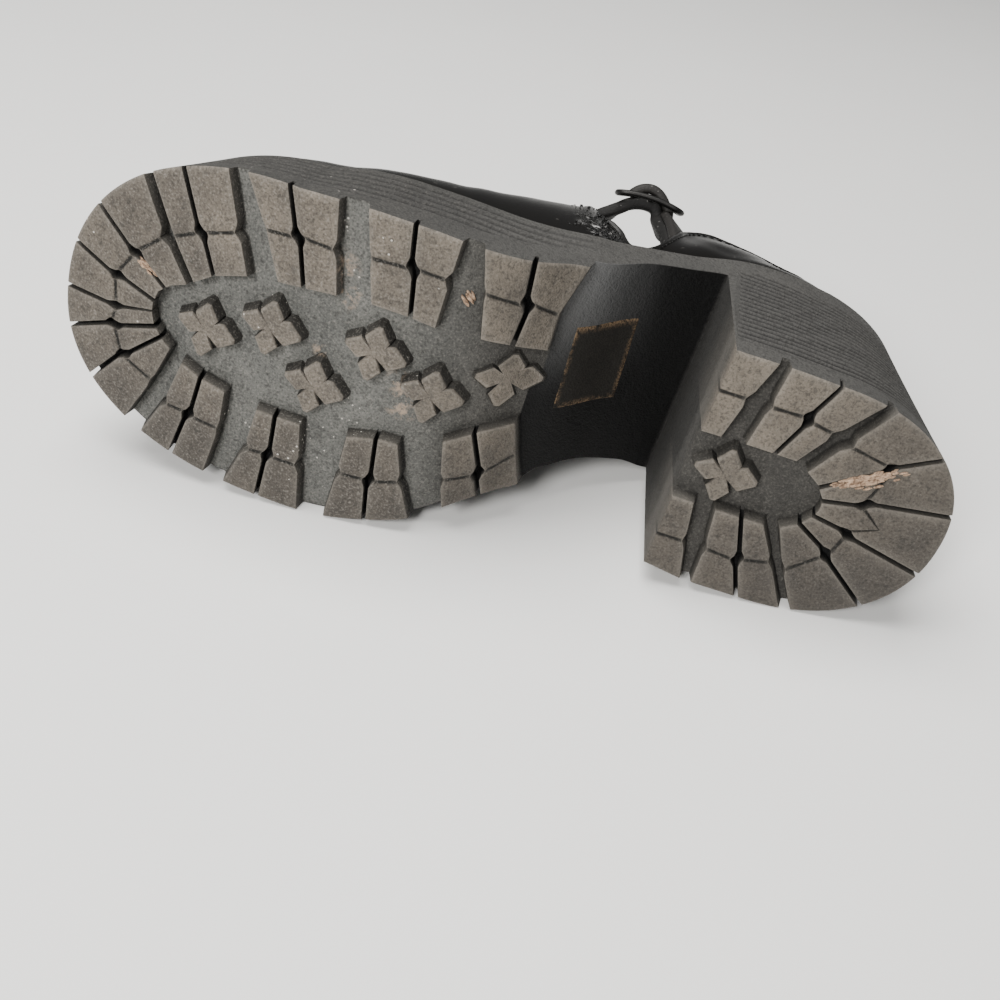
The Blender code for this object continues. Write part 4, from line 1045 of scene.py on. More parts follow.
def rib_masks(half, height):
    """Where the heel ribs and the forefoot ribs are: shares 0 to 1 for each point."""
    x, run = half.outer[:, :1], half.run[:, None]
    heel = plateau(0.03, 0.06, 0.84, 0.87, height) * (1 - smooth_step(-3.0, 2.0, x))
    low_end = 0.10 + 0.25 * smooth_step(100.0, 180.0, run)
    front = plateau(low_end, low_end + 0.05, 0.93, 0.97, height) * (
        1 - smooth_step(150.0, 190.0, run))
    return heel, front


def ribbed_wall(half):
    """Points of the wall and how deep in a valley each one lies; the rubber paints the valleys
    dark as shade.
    """
    height = np.linspace(0, 1, WALL_ROWS)[None]
    low, crown = (v[:, None] for v in (half.base_z + BAND, half.high[:, 2] - CROWN_GAP))
    z = low + (crown - low) * height
    heel_mask, front_mask = rib_masks(half, height)
    heel = rib_wave(z / HEEL_RIB, -0.2) * heel_mask
    front = rib_wave((crown - z) / FRONT_RIB, 0.1) * front_mask
    push = -heel * HEEL_DEPTH - front * FRONT_DEPTH
    edge = np.ones((len(z), 1))
    z = np.concatenate([z, *(half.high[:, 2:] - below for below, _ in EDGE_ROWS)], 1)
    push = np.concatenate([push, *(edge * out for _, out in EDGE_ROWS)], 1)
    points = wall_point(half, z)
    points[..., :2] += half.out[:, None] * push[..., None]
    return points, np.concatenate([heel + FRONT_SHADE * front, 0 * edge, 0 * edge], 1)


(lateral, lateral_valley), (medial, medial_valley) = (ribbed_wall(half) for half in halves)
across = np.linspace(0, 1, TOP_COLUMNS)[None, 1:-1, None]
deck = medial[:, -1:] * (1 - across) + lateral[:, -1:] * across
wall_grid = np.concatenate([lateral[:, ::-1], medial, deck], 1)
valley = np.concatenate([lateral_valley[:, ::-1], medial_valley, np.zeros(deck.shape[:2])], 1)
piece("sole_wall", [ringed(wall_grid, wall=1.0, valley=valley)], rubber,
      sharp=40.0)

# %% [markdown]
# ## The panel in the waist
#
# A plain dark sheet with a rough face is glued into the waist. It is a patch that
# follows the arch: raised a little in the middle, its rim sunk into the rubber.

# %% Waist panel
PANEL_CORNERS = np.array([[(40.6, 18.0), (39.7, -10.9)], [(23.6, 20.1), (22.3, -9.0)]])
PANEL_POINTS, PANEL_RAISED, PANEL_SUNK = 30, 0.35, 0.8
PANEL_RIM = 0.09   # width of the rubbed rim, as a share of the panel


def panel_grid():
    """Two-way straight blend of the corners, set on the underside of the waist."""
    t = np.linspace(0, 1, PANEL_POINTS)
    a, b = t[:, None, None], t[None, :, None]
    (c00, c01), (c10, c11) = PANEL_CORNERS
    flat = (c00 * (1 - a) + c10 * a) * (1 - b) + (c01 * (1 - a) + c11 * a) * b
    from_end = np.minimum(t, 1 - t)
    rim = np.minimum(from_end[:, None], from_end[None])
    z = underside(flat[..., 0], flat[..., 1], 1.0) - PANEL_RAISED + PANEL_SUNK * (rim == 0)
    marks = {"edge": np.clip(1 - rim / PANEL_RIM, 0, 1)}
    return np.concatenate([flat, z[..., None]], -1), False, False, marks


def panel_finish(name):
    """Rough near-black flock, rubbed to a brown ground here and there along the rim."""
    made, shader, place = blank_finish(name, specular_ior_level=0.12)
    cloud = place.noise(150.0, 4.0, 0.7)
    flock = place.noise(1500.0, 3.0, 0.7)
    colour = (flock * 0.8 + cloud * 0.3 - 0.1).clamped().mixed((0.004, 0.004, 0.004),
                                                              (0.034, 0.031, 0.027))
    rubbed = (place.mark("edge") * cloud.ramped(0.38, 0.56) * flock.ramped(0.36, 0.58)) * 0.9
    colour = rubbed.clamped().mixed(colour, (0.25, 0.165, 0.095))
    feed(shader, base_color=colour, roughness=0.82 + cloud * 0.12,
         normal=flock.bumped(0.8, 0.0004))
    return made


piece("waist_panel", [panel_grid()], panel_finish("rough_dark_panel"),
      sharp=32.0, outward=(30.0, 4.0, 200.0))

# %% [markdown]
# ## Crossed studs
#
# Seven studs stand on the pan: four short petals with blunt points. Each one is a
# closed cap. Rings of points climb from the pan, round over the edge and shrink to
# a pole, so it is a small relief with its own soft rim.

# %% Studs
STUDS = (   # x, y, turn in degrees, how far worn down in mm
    (140.6, -11.4, 3.0, 0.0), (121.6, -2.4, 3.0, 0.0), (106.3, -15.6, 3.0, 0.0),
    (91.3, 1.6, 3.0, 0.0), (73.3, -5.8, 3.0, 0.0), (54.5, 1.2, 3.0, 3.4),
    (-10.6, 0.6, 0.0, 0.0))
PETALS = (   # tip, half width, flat end, where the cut before it ends
    (9.0, 3.7, 0.7, 1.8), (8.5, 3.9, 0.7, 1.8), (10.0, 4.3, 0.7, 3.7), (9.8, 3.8, 0.7, 1.7))
SHOULDER = 4.1   # how far back from its tip a petal is widest
# The studs' side rings, with lug values between 0 and 1, take the flanks' painted shade.
STUD_RINGS = (   # push outwards, height above the lug tops, share of the radius, lug
    (0.0, 5.4, 0.0, 0.0), (0.6, 5.4, 1.0, 0.20), (0.0, 2.8, 1.0, 0.70),
    (-0.4, 1.2, 1.0, 0.85), (-0.7, 0.6, 1.0, 1.0), (-1.2, 0.2, 1.0, 1.0),
    (-1.8, 0.1, 1.0, 1.0), (-0.6, 0.05, 0.72, 1.0), (0.0, 0.12, 0.4, 1.0),
    (0.0, 0.2, 0.15, 1.0), (0.0, 0.2, 0.0, 1.0))
SIDE_PARTS = 4
EDGE_WEAR, TOP_WEAR = 0.9, 0.2


def stud_outline():
    """Closed ring of points: four petals, each side cut into short steps."""
    ring = np.concatenate([
        np.array([(cut, -cut), (tip - SHOULDER, -half), (tip, -flat), (tip, flat),
                  (tip - SHOULDER, half)]) @ flat_turn(90 * quarter)
        for quarter, (tip, half, flat, cut) in enumerate(PETALS)])
    part = np.linspace(0, 1, SIDE_PARTS + 1)[None, :-1, None]
    after = np.roll(ring, -1, axis=0)
    return (ring[:, None] * (1 - part) + after[:, None] * part).reshape(-1, 2)


def stud(x, y, turn, worn):
    """Rings of the outline, pushed out or drawn in; worn lifts the low ones off the tread."""
    ring = stud_outline()
    reach = length(ring)
    layers, wear = [], []
    for push, lift, share, _ in STUD_RINGS:
        flat = ring * share * (1 + np.where(share > 0, push / reach, 0.0))
        flat = flat @ flat_turn(turn) + (x, y)
        layers.append(np.column_stack([flat, tread_z(flat[:, 0]) + np.maximum(lift, worn)]))
        wear.append(EDGE_WEAR if 0.1 < lift < 0.7 and share == 1.0 else TOP_WEAR)
    lug = [row[-1] for row in STUD_RINGS]
    return ringed(np.array(layers), lug=np.array(lug)[:, None], wear=np.array(wear)[:, None],
                  wall=0.0)


piece("sole_studs", [stud(*row) for row in STUDS], rubber, sharp=30.0)

# %% [markdown]
# ## Leather
#
# The upper is box leather with a polished black finish: dark, smooth and glossy,
# with only a very fine grain. The strap is thinner leather that has gone dull and
# fuzzy at its edges. Near the throat of the vamp the finish has cracked and shows
# a pale ground, whose glitter is painted into the colour as pale specks.


# %% Upper leather
SORE_SPOTS = (   # place in shoe millimetres, reach, share
    ((44.0, 34.6, 54.0), 4.5, 1.0), ((48.0, 33.5, 62.0), 3.0, 0.6))


def leather_finish(name):
    """Polished black, with dust, and a cracked pale ground at the sore spots, with painted
    glints.
    """
    made, shader, place = blank_finish(name, specular_ior_level=0.12)
    cloud = place.noise(45.0, 4.0, 0.6)
    pore = place.cells(1500.0)
    fine = place.noise(900.0, 3.0, 0.6)
    crack = place.noise(330.0, 5.0, 0.75)
    sore = 0.0
    for centre, reach, share in SORE_SPOTS:
        sore = place.near(room(centre), reach * MM) * share + sore
    sore = (sore * place.noise(260.0, 4.0, 0.7).ramped(0.40, 0.60)).clamped()
    colour = cloud.mixed((0.003, 0.003, 0.003), (0.009, 0.008, 0.007))
    # pale ground in the cracks, with painted glints: near-white specks
    pale_ground_and_glint = (crack.ramped(0.50, 0.62) * sore).clamped()
    colour = pale_ground_and_glint.mixed(colour, (0.55, 0.54, 0.53))
    dust = (place.noise(500.0, 2.0) > 0.72) * 0.5
    colour = dust.mixed(colour, (0.12, 0.115, 0.105))
    rough = 0.24 + cloud * 0.14 + sore * 0.25
    bump = (pore * 0.5 + fine * 0.5).bumped(0.16, 0.0002)
    bump = (crack * sore).bumped(0.9, 0.0008, bump)
    feed(shader, base_color=colour, roughness=rough.clamped(), normal=bump)
    return made


upper_leather = leather_finish("polished_box_leather")


# %% Strap leather and lining
def dull_leather(name, dark, light, scale, rough):
    """Matt leather between two tones: clouds, fuzz of a given scale and pale flakes."""
    made, shader, place = blank_finish(name, specular_ior_level=0.25)
    cloud = place.noise(90.0, 4.0, 0.65)
    fuzz = place.noise(scale, 3.0, 0.7)
    colour = (cloud * 0.6 + fuzz * 0.5 - 0.05).clamped().mixed(dark, light)
    flake = (place.noise(650.0, 2.0) > 0.70) * 0.55
    colour = flake.mixed(colour, (0.22, 0.21, 0.20))
    bump = (fuzz * 0.7 + place.cells(1100.0) * 0.3).bumped(0.55, 0.0004)
    feed(shader, base_color=colour, roughness=(rough + cloud * 0.12).clamped(), normal=bump)
    return made


strap_leather, tab_leather, edge_leather = (dull_leather(*row) for row in (
    ("fuzzy_strap_leather", (0.005, 0.005, 0.005), (0.018, 0.017, 0.016), 1300.0, 0.60),
    ("grey_tab_leather", (0.010, 0.009, 0.009), (0.036, 0.034, 0.031), 1100.0, 0.52),
    ("stitched_edge_leather", (0.010, 0.010, 0.010), (0.060, 0.057, 0.053), 900.0, 0.55)))

# %% [markdown]
# ## The upper
#
# A last gives the upper its shape: from each point of the feather line a profile
# climbs and curls over. Each profile is a cubic (Bezier) curve, and the profiles
# themselves are blended along the shoe. The vamp's profiles meet over the
# instep; the quarter's end in the open topline.

# %% Profiles of the upper
LEDGE, SEAT_GAP, LEATHER = 2.5, 0.3, 2.0
TUCK = 0.36   # how far below an upright rim its handle lies, as a share of the rise
LATERAL_ROWS = (   # base x, rim x, rim y, rim z, arch, bulge, fullness
    (181.0, 152.0, -15.0, 64.5, 1.0, 0.6, 0.62), (168.0, 146.0, -14.0, 66.0, 1.0, 0.6, 0.62),
    (150.0, 136.0, -12.0, 68.0, 1.0, 0.6, 0.62), (128.0, 120.0, -9.0, 71.0, 1.0, 0.5, 0.60),
    (108.0, 106.0, -7.0, 75.0, 1.0, 0.4, 0.60), (92.0, 92.0, -5.0, 80.0, 1.0, 0.4, 0.60),
    (78.0, 77.0, -4.0, 88.0, 1.0, 0.7, 0.61), (66.0, 62.0, -3.0, 98.5, 1.0, 0.8, 0.61),
    (57.0, 50.0, -2.0, 107.0, 1.0, 0.7, 0.59), (51.5, 45.0, 6.0, 108.0, 0.9, 0.5, 0.58),
    (47.5, 43.4, 15.0, 104.0, 0.7, 0.4, 0.54), (44.0, 41.4, 22.4, 95.0, 0.4, 0.5, 0.46),
    (40.5, 38.6, 28.6, 76.0, 0.0, 0.6, 0.34), (37.2, 36.0, 33.6, 58.0, 0.0, 0.4, 0.33),
    (34.0, 33.2, 35.4, 49.2, 0.0, 0.2, 0.33), (30.5, 30.0, 35.6, 48.4, 0.0, 0.1, 0.33),
    (26.5, 26.2, 35.8, 52.0, 0.0, 0.2, 0.33), (22.5, 22.5, 35.4, 61.0, 0.0, 0.4, 0.33),
    (18.5, 18.8, 33.6, 74.0, 0.0, 0.8, 0.34), (14.0, 15.2, 30.8, 86.0, 0.0, 1.2, 0.36),
    (6.0, 6.5, 29.2, 94.0, 0.0, 1.6, 0.38), (-6.0, -6.0, 28.8, 92.0, 0.0, 1.6, 0.38),
    (-20.0, -20.0, 28.2, 88.0, 0.0, 1.0, 0.38), (-36.0, -34.0, 23.6, 88.5, 0.0, 0.6, 0.38),
    (-52.0, -48.0, 16.4, 92.0, 0.0, 0.6, 0.38), (-64.0, -57.0, 8.6, 96.0, 0.0, 0.8, 0.38),
    (-71.0, -60.0, 0.0, 98.0, 0.0, 1.0, 0.38))
MEDIAL_ROWS = (
    (181.0, 152.0, -15.0, 64.5, 1.0, 0.6, 0.62), (168.0, 146.0, -14.0, 66.0, 1.0, 0.6, 0.62),
    (150.0, 136.0, -12.0, 68.0, 1.0, 0.6, 0.62), (128.0, 120.0, -9.0, 71.0, 1.0, 0.5, 0.60),
    (108.0, 106.0, -7.0, 75.0, 1.0, 0.3, 0.58), (92.0, 92.0, -5.0, 80.0, 1.0, 0.2, 0.56),
    (78.0, 77.0, -4.0, 88.0, 1.0, 0.2, 0.55), (66.0, 62.0, -3.0, 98.5, 1.0, 0.2, 0.54),
    (57.0, 50.0, -2.0, 107.0, 1.0, 0.2, 0.53), (51.5, 45.0, -9.0, 106.5, 0.9, 0.2, 0.52),
    (47.5, 43.0, -16.0, 101.0, 0.6, 0.4, 0.48), (44.0, 41.0, -22.0, 92.0, 0.3, 0.6, 0.40),
    (40.5, 38.6, -27.0, 79.0, 0.0, 0.8, 0.34), (37.2, 36.0, -30.0, 67.0, 0.0, 0.6, 0.33),
    (34.0, 33.2, -31.2, 61.0, 0.0, 0.4, 0.33), (30.5, 30.0, -31.4, 60.0, 0.0, 0.4, 0.33),
    (26.5, 26.2, -31.4, 62.0, 0.0, 0.6, 0.33), (22.5, 22.5, -31.4, 68.0, 0.0, 1.0, 0.33),
    (18.5, 18.8, -31.4, 77.0, 0.0, 1.6, 0.34), (14.0, 15.2, -31.0, 86.0, 0.0, 2.4, 0.36),
    (6.0, 6.5, -30.4, 94.0, 0.0, 3.4, 0.38), (-6.0, -6.0, -30.0, 93.0, 0.0, 3.9, 0.38),
    (-20.0, -20.0, -28.8, 89.0, 0.0, 3.6, 0.38), (-36.0, -34.0, -24.4, 89.5, 0.0, 2.2, 0.38),
    (-52.0, -48.0, -17.2, 92.0, 0.0, 1.2, 0.38), (-64.0, -57.0, -9.4, 96.0, 0.0, 1.0, 0.38),
    (-71.0, -60.0, 0.0, 98.0, 0.0, 1.0, 0.38))
BLEND_STEPS, PROFILE_STEPS = 6, 34
VAMP_ROWS = 8 * BLEND_STEPS + 1


def blended(rows):
    """Table rows with more rows between them, each column a shape-keeping curve."""
    data = np.array(rows)
    index = np.arange(len(data), dtype=float)
    fine = np.linspace(0, len(data) - 1, (len(data) - 1) * BLEND_STEPS + 1)
    return np.stack([smooth_table(list(zip(index, column)), 1)(fine) for column in data.T], 1)


def foot_run(x, edge):
    """Distance run along the outline for each profile, closer together at the tips."""
    toe = TOE_START + (TOE_TIP - TOE_START) * np.sin(
        np.pi / 2 * np.clip((x - TOE_START) / (x[0] - TOE_START), 0, 1))
    heel = HEEL_START - (HEEL_START - HEEL_TIP) * np.sin(
        np.pi / 2 * np.clip((HEEL_START - x) / (HEEL_START - x[-1]), 0, 1))
    x = np.where(x > TOE_START, toe, np.where(x < HEEL_START, heel, x))
    return np.interp(-x, -edge.flat[:, 0], edge.run)


def upper_side(rows, side):
    """Grid of the outer face: cubic curves from the feather line to the rim."""
    data, edge = blended(rows), edges[side]
    run = foot_run(data[:, 0], edge)
    foot = edge.high(run, LEDGE) + (0.0, 0.0, SEAT_GAP)
    out = edge.normal(run)
    rim, (arch, bulge, full) = data[:, 1:4], (data[:, k, None] for k in (4, 5, 6))
    rise = (rim[:, 2] - foot[:, 2])[:, None]
    first = foot + np.concatenate([out * bulge * 2, full * rise], 1)
    flat = np.concatenate([foot[:, :2] - rim[:, :2], 0 * rise], 1) * full
    flat[:, 2] = flat[:, 0] * np.gradient(rim[:, 2]) / (np.gradient(rim[:, 0]) - 1e-6)
    second = rim + arch * flat + (1 - arch) * np.concatenate([out * bulge, -TUCK * rise], 1)
    t = np.linspace(0, 1, PROFILE_STEPS)[None, :, None]
    foot, first, second, rim = (p[:, None] for p in (foot, first, second, rim))
    return ((1 - t) ** 3 * foot + 3 * t * (1 - t) ** 2 * first
            + 3 * t * t * (1 - t) * second + t ** 3 * rim)


print("profiles on each side:", len(blended(LATERAL_ROWS)))

# %% [markdown]
# Leather that has been worn has creases: shallow troughs across the vamp where
# the toes bend, and a soft dent in the quarter above the heel. Each crease is a
# line on the surface; points near it move inwards, and between two troughs the
# leather swells a little.

# %% Creases and the shell
CREASES = (   # side, from (x, z) to (x, z), depth, half width in mm
    (0, (98.0, 56.0), (84.0, 84.0), 0.6, 3.4), (0, (88.0, 58.0), (74.0, 90.0), 0.6, 3.6),
    (0, (78.0, 62.0), (66.0, 92.0), 0.4, 3.2), (1, (104.0, 46.0), (88.0, 80.0), 0.8, 3.6),
    (1, (93.0, 44.0), (78.0, 84.0), 0.9, 3.8), (1, (80.0, 46.0), (68.0, 82.0), 0.6, 3.4),
    (0, (8.0, 66.0), (-18.0, 78.0), 0.8, 6.0), (1, (8.0, 68.0), (-18.0, 80.0), 0.8, 6.0),
    (0, (-30.0, 70.0), (-52.0, 84.0), 0.5, 5.0), (1, (-30.0, 70.0), (-52.0, 84.0), 0.5, 5.0))


UPPER_HEART = np.array((60.0, 0.0, 50.0))
SWELL = 0.45   # height of the swells beside a crease, as a share of its depth


def outward_normals(grid):
    """Unit normals of a grid: the cross product of its two directions, facing out."""
    normal = np.cross(np.gradient(grid, axis=0), np.gradient(grid, axis=1))
    normal = normal / (length(normal) + 1e-12)
    return normal if ((grid - UPPER_HEART) * normal).sum() > 0 else -normal


def crease_push(grid, start, end, depth, half):
    """Push along one crease: a bell inwards on the line and a swell beside it."""
    start, along = np.array(start), np.array(end) - start
    here = grid[..., [0, 2]] - start
    long = np.linalg.norm(along)
    away = np.abs(here[..., 0] * along[1] - here[..., 1] * along[0]) / long
    bell = -np.exp(-(away / half) ** 2) + SWELL * np.exp(-(away / half - 2.1) ** 2)
    return depth * bell * plateau(-0.15, 0.2, 0.75, 1.15, (here @ along) / long ** 2)


def creased(grid, side):
    """The grid with the creases of its side, which die out toward its four rims."""
    push = sum(crease_push(grid, *row) for which, *row in CREASES if which == side)
    calm = (plateau(0.0, 0.12, 0.85, 1.0, np.linspace(0, 1, PROFILE_STEPS)[None])
            * plateau(0.0, 0.05, 0.95, 1.0, np.linspace(0, 1, len(grid))[:, None]))
    return grid + outward_normals(grid) * (push * calm)[..., None]


sides = [creased(upper_side(rows, side), side)
         for side, rows in enumerate((LATERAL_ROWS, MEDIAL_ROWS))]
for end in (0, -1):
    sides[0][end] = sides[1][end] = (sides[0][end] + sides[1][end]) / 2
sides[1][:VAMP_ROWS, -1] = sides[0][:VAMP_ROWS, -1]
upper = piece("upper_leather_shell", [(grid, False, False, {}) for grid in sides],
              upper_leather, "upper", outward=UPPER_HEART)
wall_thickness = upper.modifiers.new("leather", "SOLIDIFY")
wall_thickness.thickness = LEATHER * MM
wall_thickness.offset = -1.0
wall_thickness.use_even_offset = True

# %% [markdown]
# ## Rolled edges and stitches
#
# The topline is folded over a cord, so it reads as a soft roll. A roll is a round
# section carried along the rim; a stitch is a tiny capsule, and a row of them
# follows the same path a little lower.

# %% Paths, rolls and stitches
ROLL_SIDES, STITCH_SIDES = 12, 6
STITCH_RINGS = np.array([(-0.5, 0.0), (-0.38, 0.8), (0.0, 1.0), (0.38, 0.8), (0.5, 0.0)])


def even_path(points, spacing):
    """The same path with points every `spacing` millimetres."""
    run = run_of(length(np.diff(points, axis=0))[:, 0])
    return read_off(np.linspace(0, run[-1], max(int(run[-1] / spacing), 2) + 1), run, points)


def square_frame(along, face):
    """Unit direction, side and face vectors; face is a guide, made square."""
    along = along / length(along)
    face = face - along * (face * along).sum(-1, keepdims=True)
    face = face / length(face)
    return along, np.cross(along, face), face


def round_section(across, face, count, squash=1.0):
    """Ring of unit vectors at each point of a path; squash flattens it to the face."""
    angle = np.linspace(0, 2 * np.pi, count, endpoint=False)[None, :, None]
    return np.cos(angle) * across[:, None] + squash * np.sin(angle) * face[:, None]


def roll(path, face, radius, wobble=0.0):
    """Round section carried along a path, with closed ends; wobble makes it bumpy."""
    across, face = square_frame(np.gradient(path, axis=0), face)[1:]
    index = np.arange(len(path))
    size = radius * (1 + wobble * np.sin(index * 2.1) * np.sin(index * 0.83 + 1.0))
    size[[0, -1]] = 0.0
    return path[:, None] + round_section(across, face, ROLL_SIDES) * size[:, None, None]


def stitch_row(path, face, long, gap, radius):
    """One capsule a stitch: rings that swell and taper again between its two ends."""
    path = even_path(path, long + gap)
    face = face[np.linspace(0, len(face) - 1, len(path)).astype(int)]
    along, across, face = square_frame(np.gradient(path, axis=0), face)
    place, size = (STITCH_RINGS * (long, radius)).T[:, :, None, None]
    return [ringed(centre + step * place + ring * size) for centre, step, ring in
            zip(path, along, round_section(across, face, STITCH_SIDES))]


print("rings in a stitch:", len(STITCH_RINGS))

# %% The topline
COLLAR_HEART = np.array((0.0, 0.0, 80.0))
SAME_SPOT, ROLL_STEP = 0.05, 1.2
TOPLINE_ROLL, SEAM_BELOW, SEAM_OUT = 1.15, 3.4, 0.15   # radius; place of the stitches


def topline():
    """Rim of the quarter, with the directions up the leather and in to the foot."""
    lateral, medial = (grid[VAMP_ROWS - 1:, [-1, -4]] for grid in sides)
    rim, below = np.concatenate([lateral, medial[-2::-1]]).swapaxes(0, 1)
    both = np.concatenate([rim, rim - below], 1)
    both = both[np.concatenate([[True], length(np.diff(rim, axis=0))[:, 0] > SAME_SPOT])]
    run = run_of(length(np.diff(both[:, :3], axis=0))[:, 0])
    both = read_off(np.linspace(0, run[-1], int(run[-1] / ROLL_STEP)), run, both)
    rim, rise = both[:, :3], both[:, 3:] / length(both[:, 3:])
    inward = np.cross(np.gradient(rim, axis=0), rise)
    inward = inward / length(inward)
    return rim, rise, inward * np.sign(((COLLAR_HEART - rim) * inward).sum(1, keepdims=True))


rim, rise, inward = topline()
roll_path = rim + inward * (LEATHER / 2) - rise * 0.2
piece("topline_roll", [ringed(roll(roll_path, rise, TOPLINE_ROLL, wobble=0.03))],
      upper_leather)
piece("topline_stitches",
      stitch_row(rim - rise * SEAM_BELOW - inward * SEAM_OUT, -inward, 2.0, 0.8, 0.16),
      upper_leather)

# %% [markdown]
# ## Insole
#
# Inside lies a cloth-covered footbed. It is a thin pad that follows the feather
# line: a rounded edge, a flat middle, closed underneath.


# %% Insole finish and piece
WEAVE, WEAVE_WAYS = {"Scale": 420.0, "Distortion": 0.6}, ("X", "Z")
FOOTBED_IN, FOOTBED_STEPS = 5.9, 150
INSOLE_RINGS = (   # further in, height, share of the way out from the spine
    (0.0, 0.0, 0.0), (0.0, 0.0, 1.0), (0.0, 0.4, 1.0), (0.0, 2.2, 1.0),
    (0.5, 2.85, 1.0), (1.2, 3.0, 1.0), (0.0, 3.0, 0.55), (0.0, 3.0, 0.0))


def cloth_finish(name):
    """Dark cloth: two crossed sets of bands, lighter where both are high."""
    made, shader, place = blank_finish(name)
    cloud = place.noise(60.0, 4.0, 0.6)
    warp, weft = (place.node("ShaderNodeTexWave",
                             {"wave_type": "BANDS", "bands_direction": way},
                             {"Vector": place, **WEAVE}) for way in WEAVE_WAYS)
    thread = warp * weft
    colour = (cloud * 0.6 + thread * 0.5).clamped().mixed((0.035, 0.033, 0.031),
                                                          (0.125, 0.116, 0.105))
    feed(shader, base_color=colour, roughness=0.85 + cloud * 0.1,
         normal=thread.bumped(0.6, 0.0004))
    return made


def insole_grid():
    """Rings round the shoe: out to the edge, up it, rounded over and back to the spine."""
    runs = [np.linspace(0, edge.run[-1], FOOTBED_STEPS) for edge in edges]
    layers = []
    for inset, lift, share in INSOLE_RINGS:
        both = [edge.high(run, FOOTBED_IN + inset) for edge, run in zip(edges, runs)]
        heart = (both[0] + both[1]) / 2
        both = [heart + (b - heart) * share for b in both]
        ring = np.concatenate([both[0], both[1][-2:0:-1]])
        layers.append(ring + (0.0, 0.0, 2 * SEAT_GAP + lift))
    return np.array(layers)


piece("footbed", [ringed(insole_grid())], cloth_finish("footbed_cloth"),
      "insole", sharp=50.0)

# %% [markdown]
# ## Strap, tab and slide buckle
#
# One instep strap comes off the medial side, dips under the buckle's middle bar
# and goes down the lateral side. A second layer, the tab, folds over the frame.
# A strap is a flat section with round edges carried along a smooth path: the
# section is a superellipse, the path a Catmull-Rom curve through a few stations.

# %% Stations of the strap
BUCKLE_CENTRE = np.array((29.5, 25.5, 114.0))
BUCKLE_FACE = np.array((0.0, 0.93, 0.36)) / np.hypot(0.93, 0.36)
BUCKLE_LONG, BUCKLE_WIDE, BUCKLE_BAR, BUCKLE_ARCH = 24.6, 15.0, 1.15, 1.8
THREAD_HALF, STRAP_THICK, TAB_THICK = 4.6, 4.4, 3.4
STATION_STEPS = 8
LATERAL_LEG = (   # x, y, z, half width, and the way its outer face looks
    (17.3, 23.0, 77.0, 3.8, -0.35, 0.94, 0.00), (18.3, 23.2, 86.0, 3.9, -0.40, 0.91, 0.00),
    (19.9, 23.1, 94.0, 4.2, -0.50, 0.86, 0.05), (21.7, 21.9, 102.0, 4.5, -0.60, 0.79, 0.10),
    (24.0, 20.8, 108.6, 4.6, -0.80, 0.58, 0.12))
MEDIAL_LEG = (
    (40.8, 19.7, 111.2, 4.6, 0.50, 0.76, 0.42), (43.8, 15.9, 110.7, 4.6, 0.40, 0.66, 0.63),
    (45.6, 7.0, 112.0, 4.6, 0.20, 0.30, 0.93), (44.0, -4.0, 114.4, 4.6, 0.14, -0.14, 0.98),
    (38.0, -16.0, 112.0, 4.6, 0.06, -0.62, 0.78), (30.0, -25.0, 101.0, 4.6, 0.00, -0.93, 0.37),
    (24.0, -27.8, 86.0, 4.6, 0.00, -1.00, 0.00), (21.6, -27.8, 72.0, 4.6, 0.00, -1.00, 0.00))
TAB_LEG = (
    (19.7, 24.7, 102.0, 4.4, -0.60, 0.79, 0.10), (18.3, 26.0, 94.0, 4.2, -0.50, 0.86, 0.05),
    (17.1, 26.3, 86.0, 3.9, -0.40, 0.91, 0.00), (16.3, 26.2, 77.0, 3.8, -0.35, 0.94, 0.00))
UNDER_BAR = (   # from the buckle's centre: along, across, lift, face along, face lift
    (-4.2, -0.6, -3.2, -0.70, 0.70), (-2.2, 0.0, -1.0, -0.35, 0.94),
    (1.0, 0.0, -0.6, 0.00, 1.00),
    (4.0, 0.0, -1.2, 0.25, 0.97), (6.6, 0.0, -2.4, 0.50, 0.87), (8.8, 0.0, -4.2, 0.60, 0.80))
OVER_BAR = (
    (7.0, 0.0, 0.4, 0.80, 0.60), (5.8, 0.0, 2.1, 0.75, 0.66), (4.0, 0.0, 3.7, 0.50, 0.87),
    (1.6, 0.0, 4.6, 0.10, 0.99), (-0.8, 0.0, 4.5, -0.25, 0.97), (-3.2, 0.0, 3.3, -0.60, 0.80),
    (-5.4, 0.0, 1.2, -0.80, 0.60), (-7.4, -0.6, -1.6, -0.95, 0.30),
    (-8.0, -3.0, -4.2, -0.82, 0.57))


def by_buckle(along, across, lift):
    """Point given from the buckle's centre: along the strap, across it, outwards."""
    run = np.array([1.0, 0.0, 0.0])
    return (BUCKLE_CENTRE + np.multiply.outer(along, run)
            + np.multiply.outer(across, np.cross(run, BUCKLE_FACE))
            + np.multiply.outer(lift, BUCKLE_FACE))


def threaded(rows):
    """Stations as in the legs, for rows given from the buckle's centre."""
    return tuple((*by_buckle(*place), THREAD_HALF, along, *(BUCKLE_FACE[1:] * lift))
                 for *place, along, lift in rows)


def catmull(rows):
    """Catmull-Rom curve through every column of the stations."""
    data = np.array(rows, float)
    at = np.linspace(0, len(data) - 1, (len(data) - 1) * STATION_STEPS + 1)
    i = np.clip(np.floor(at).astype(int), 0, len(data) - 2)
    t = (at - i)[:, None]
    pad = np.concatenate([[2 * data[0] - data[1]], data, [2 * data[-1] - data[-2]]])
    p0, p1, p2, p3 = pad[i], pad[i + 1], pad[i + 2], pad[i + 3]
    return 0.5 * (2 * p1 + (p2 - p0) * t + (2 * p0 - 5 * p1 + 4 * p2 - p3) * t ** 2
                  + (3 * p1 - p0 - 3 * p2 + p3) * t ** 3)


